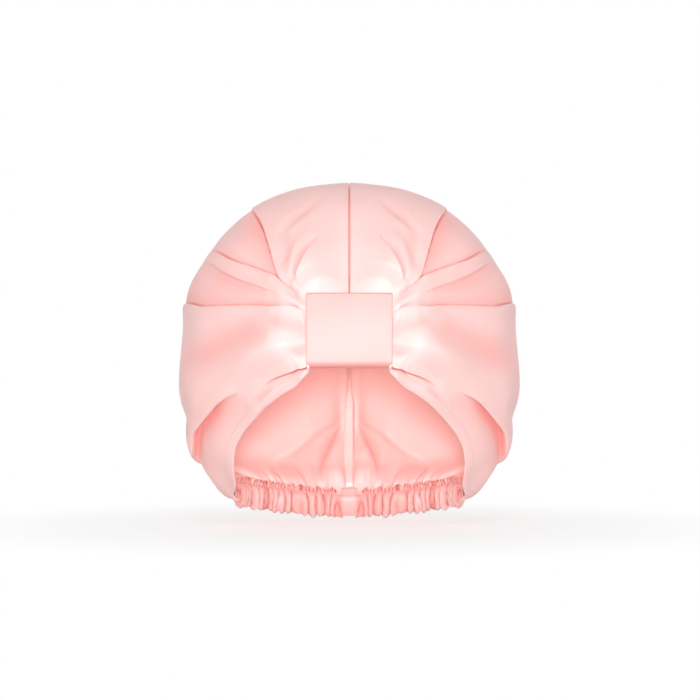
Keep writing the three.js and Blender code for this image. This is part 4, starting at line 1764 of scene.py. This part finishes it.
@dataclass
class Studio:
    """Camera, lamps, floor and white background, which aren't part of the bonnet. Lengths are in metres."""

    distance: float = 1.8  # from the camera to the middle of the bonnet
    eye: float = 0.121  # height of the camera
    frame_width: float = 0.4956  # width of what the picture shows at the middle of the bonnet
    side_step: float = 0.001  # of the bonnet from the picture's middle, as a share of its width
    surround: float = 0.24  # how strongly the white surround lights the bonnet
    floor_size: float = 30.0  # half the floor's width
    floor_paint: str = "F7F6F5"
    shadow_floor: Pair = (0.1, 0.3)  # where the shadow begins to fade, and is gone
    shadow_white: float = 0.7  # how far the floor is plain white in the shadow

    def set_camera(self) -> None:
        """Places a level camera in front of the bonnet."""
        lens = bpy.data.cameras.new("camera")
        lens.sensor_width = 36
        lens.lens = lens.sensor_width * self.distance / self.frame_width
        lens.shift_x = self.side_step
        camera = bpy.data.objects.new("camera", lens)
        camera.location = (0, -self.distance, self.eye)
        camera.rotation_euler = (QUARTER, 0, 0)
        bpy.context.scene.collection.objects.link(camera)
        bpy.context.scene.camera = camera

    def set_lights(self) -> None:
        """Adds the lamps and a white surround."""
        for lamp in LAMPS:
            light = bpy.data.lights.new(lamp.name, "AREA")
            light.shape = "SQUARE"
            light.size = lamp.size
            light.energy = lamp.power
            stand = bpy.data.objects.new(lamp.name, light)
            stand.location = lamp.place
            x, y, z = np.array([0, 0, self.eye]) - np.array(lamp.place)
            stand.rotation_euler = (math.atan2(math.hypot(x, y), -z), 0, math.atan2(-x, y))
            stand.visible_camera = False
            bpy.context.scene.collection.objects.link(stand)
        world = bpy.data.worlds.new("white_surround")
        world.use_nodes = True
        tree = world.node_tree
        tree.nodes.clear()
        levels = {"Value": seen_directly(tree), "To Min": self.surround, "To Max": 1.0}
        strength = add_node(tree, "ShaderNodeMapRange", levels)
        white = add_node(tree, "ShaderNodeBackground", {"Color": (1, 1, 1, 1), "Strength": strength})
        add_node(tree, "ShaderNodeOutputWorld", {"Surface": white})
        bpy.context.scene.world = world

    def lay_floor(self, height: float) -> None:
        """Lays a pale floor that keeps the bonnet's shadow and fades to plain white.

        Args:
            height: where the floor lies.
        """
        reach = self.floor_size
        corners = [(x * reach, y * reach, height) for x, y in ((-1, -1), (1, -1), (1, 1), (-1, 1))]
        mesh = bpy.data.meshes.new("floor")
        mesh.from_pydata(corners, [], [(0, 1, 2, 3)])
        material, tree = new_material("white_floor_paint")
        place = add_node(tree, "ShaderNodeTexCoord").outputs["Object"]
        distance = add_node(tree, "ShaderNodeVectorMath", {0: place}, operation="LENGTH")
        near, clear = self.shadow_floor
        fade = {"Value": distance, "From Min": near, "From Max": clear, "To Min": self.shadow_white}
        far = add_node(tree, "ShaderNodeMapRange", fade)
        plain = add_node(tree, "ShaderNodeMath", {0: far, 1: seen_directly(tree)}, operation="MULTIPLY")
        paint = add_node(tree, "ShaderNodeBsdfDiffuse", {"Color": linear_colour(self.floor_paint)})
        glow = add_node(tree, "ShaderNodeEmission", {"Color": (1, 1, 1, 1), "Strength": 1.0})
        mixed = add_node(tree, "ShaderNodeMixShader", {0: plain, 1: paint, 2: glow})
        add_node(tree, "ShaderNodeOutputMaterial", {"Surface": mixed})
        mesh.materials.append(material)
        new_piece("floor", mesh)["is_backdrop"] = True


def write_sizes() -> None:
    """Updates the view layer."""
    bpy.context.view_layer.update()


def main() -> None:
    """Builds the bonnet piece by piece, then its studio."""
    logging.basicConfig(level=logging.INFO, format="%(message)s")
    bpy.context.scene.view_settings.view_transform = "Standard"
    studio = Studio()
    studio.set_camera()
    low, high = (np.array(corner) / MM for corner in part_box("front_band"))
    width, depth, height = high - low
    crown = Crown(band_width=width, band_height=height, band_bottom=low[2], band_front=low[1])
    thread = ThreadTree(SEWING_THREAD.material())
    trim = TRIM_SATIN.material()
    assemblies = (
        CrownPanels(crown, CROWN_SATIN.material()),
        BrimFacings(crown, trim, thread),
        SeamBinding(crown, trim, thread),
        FrontBand(width, height, low[2], low[1], depth, BAND_SATIN.material(), thread),
        NapeCasing(crown, CASING_SATIN.material(), ELASTIC_WEB.material(), thread),
    )
    for assembly in assemblies:
        for piece in assembly.build():
            LOG.info("%s: %d faces", piece.name, len(piece.data.polygons))
    studio.set_lights()
    studio.lay_floor(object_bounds()[0][2])
    write_sizes()


if __name__ == "__main__":
    main()
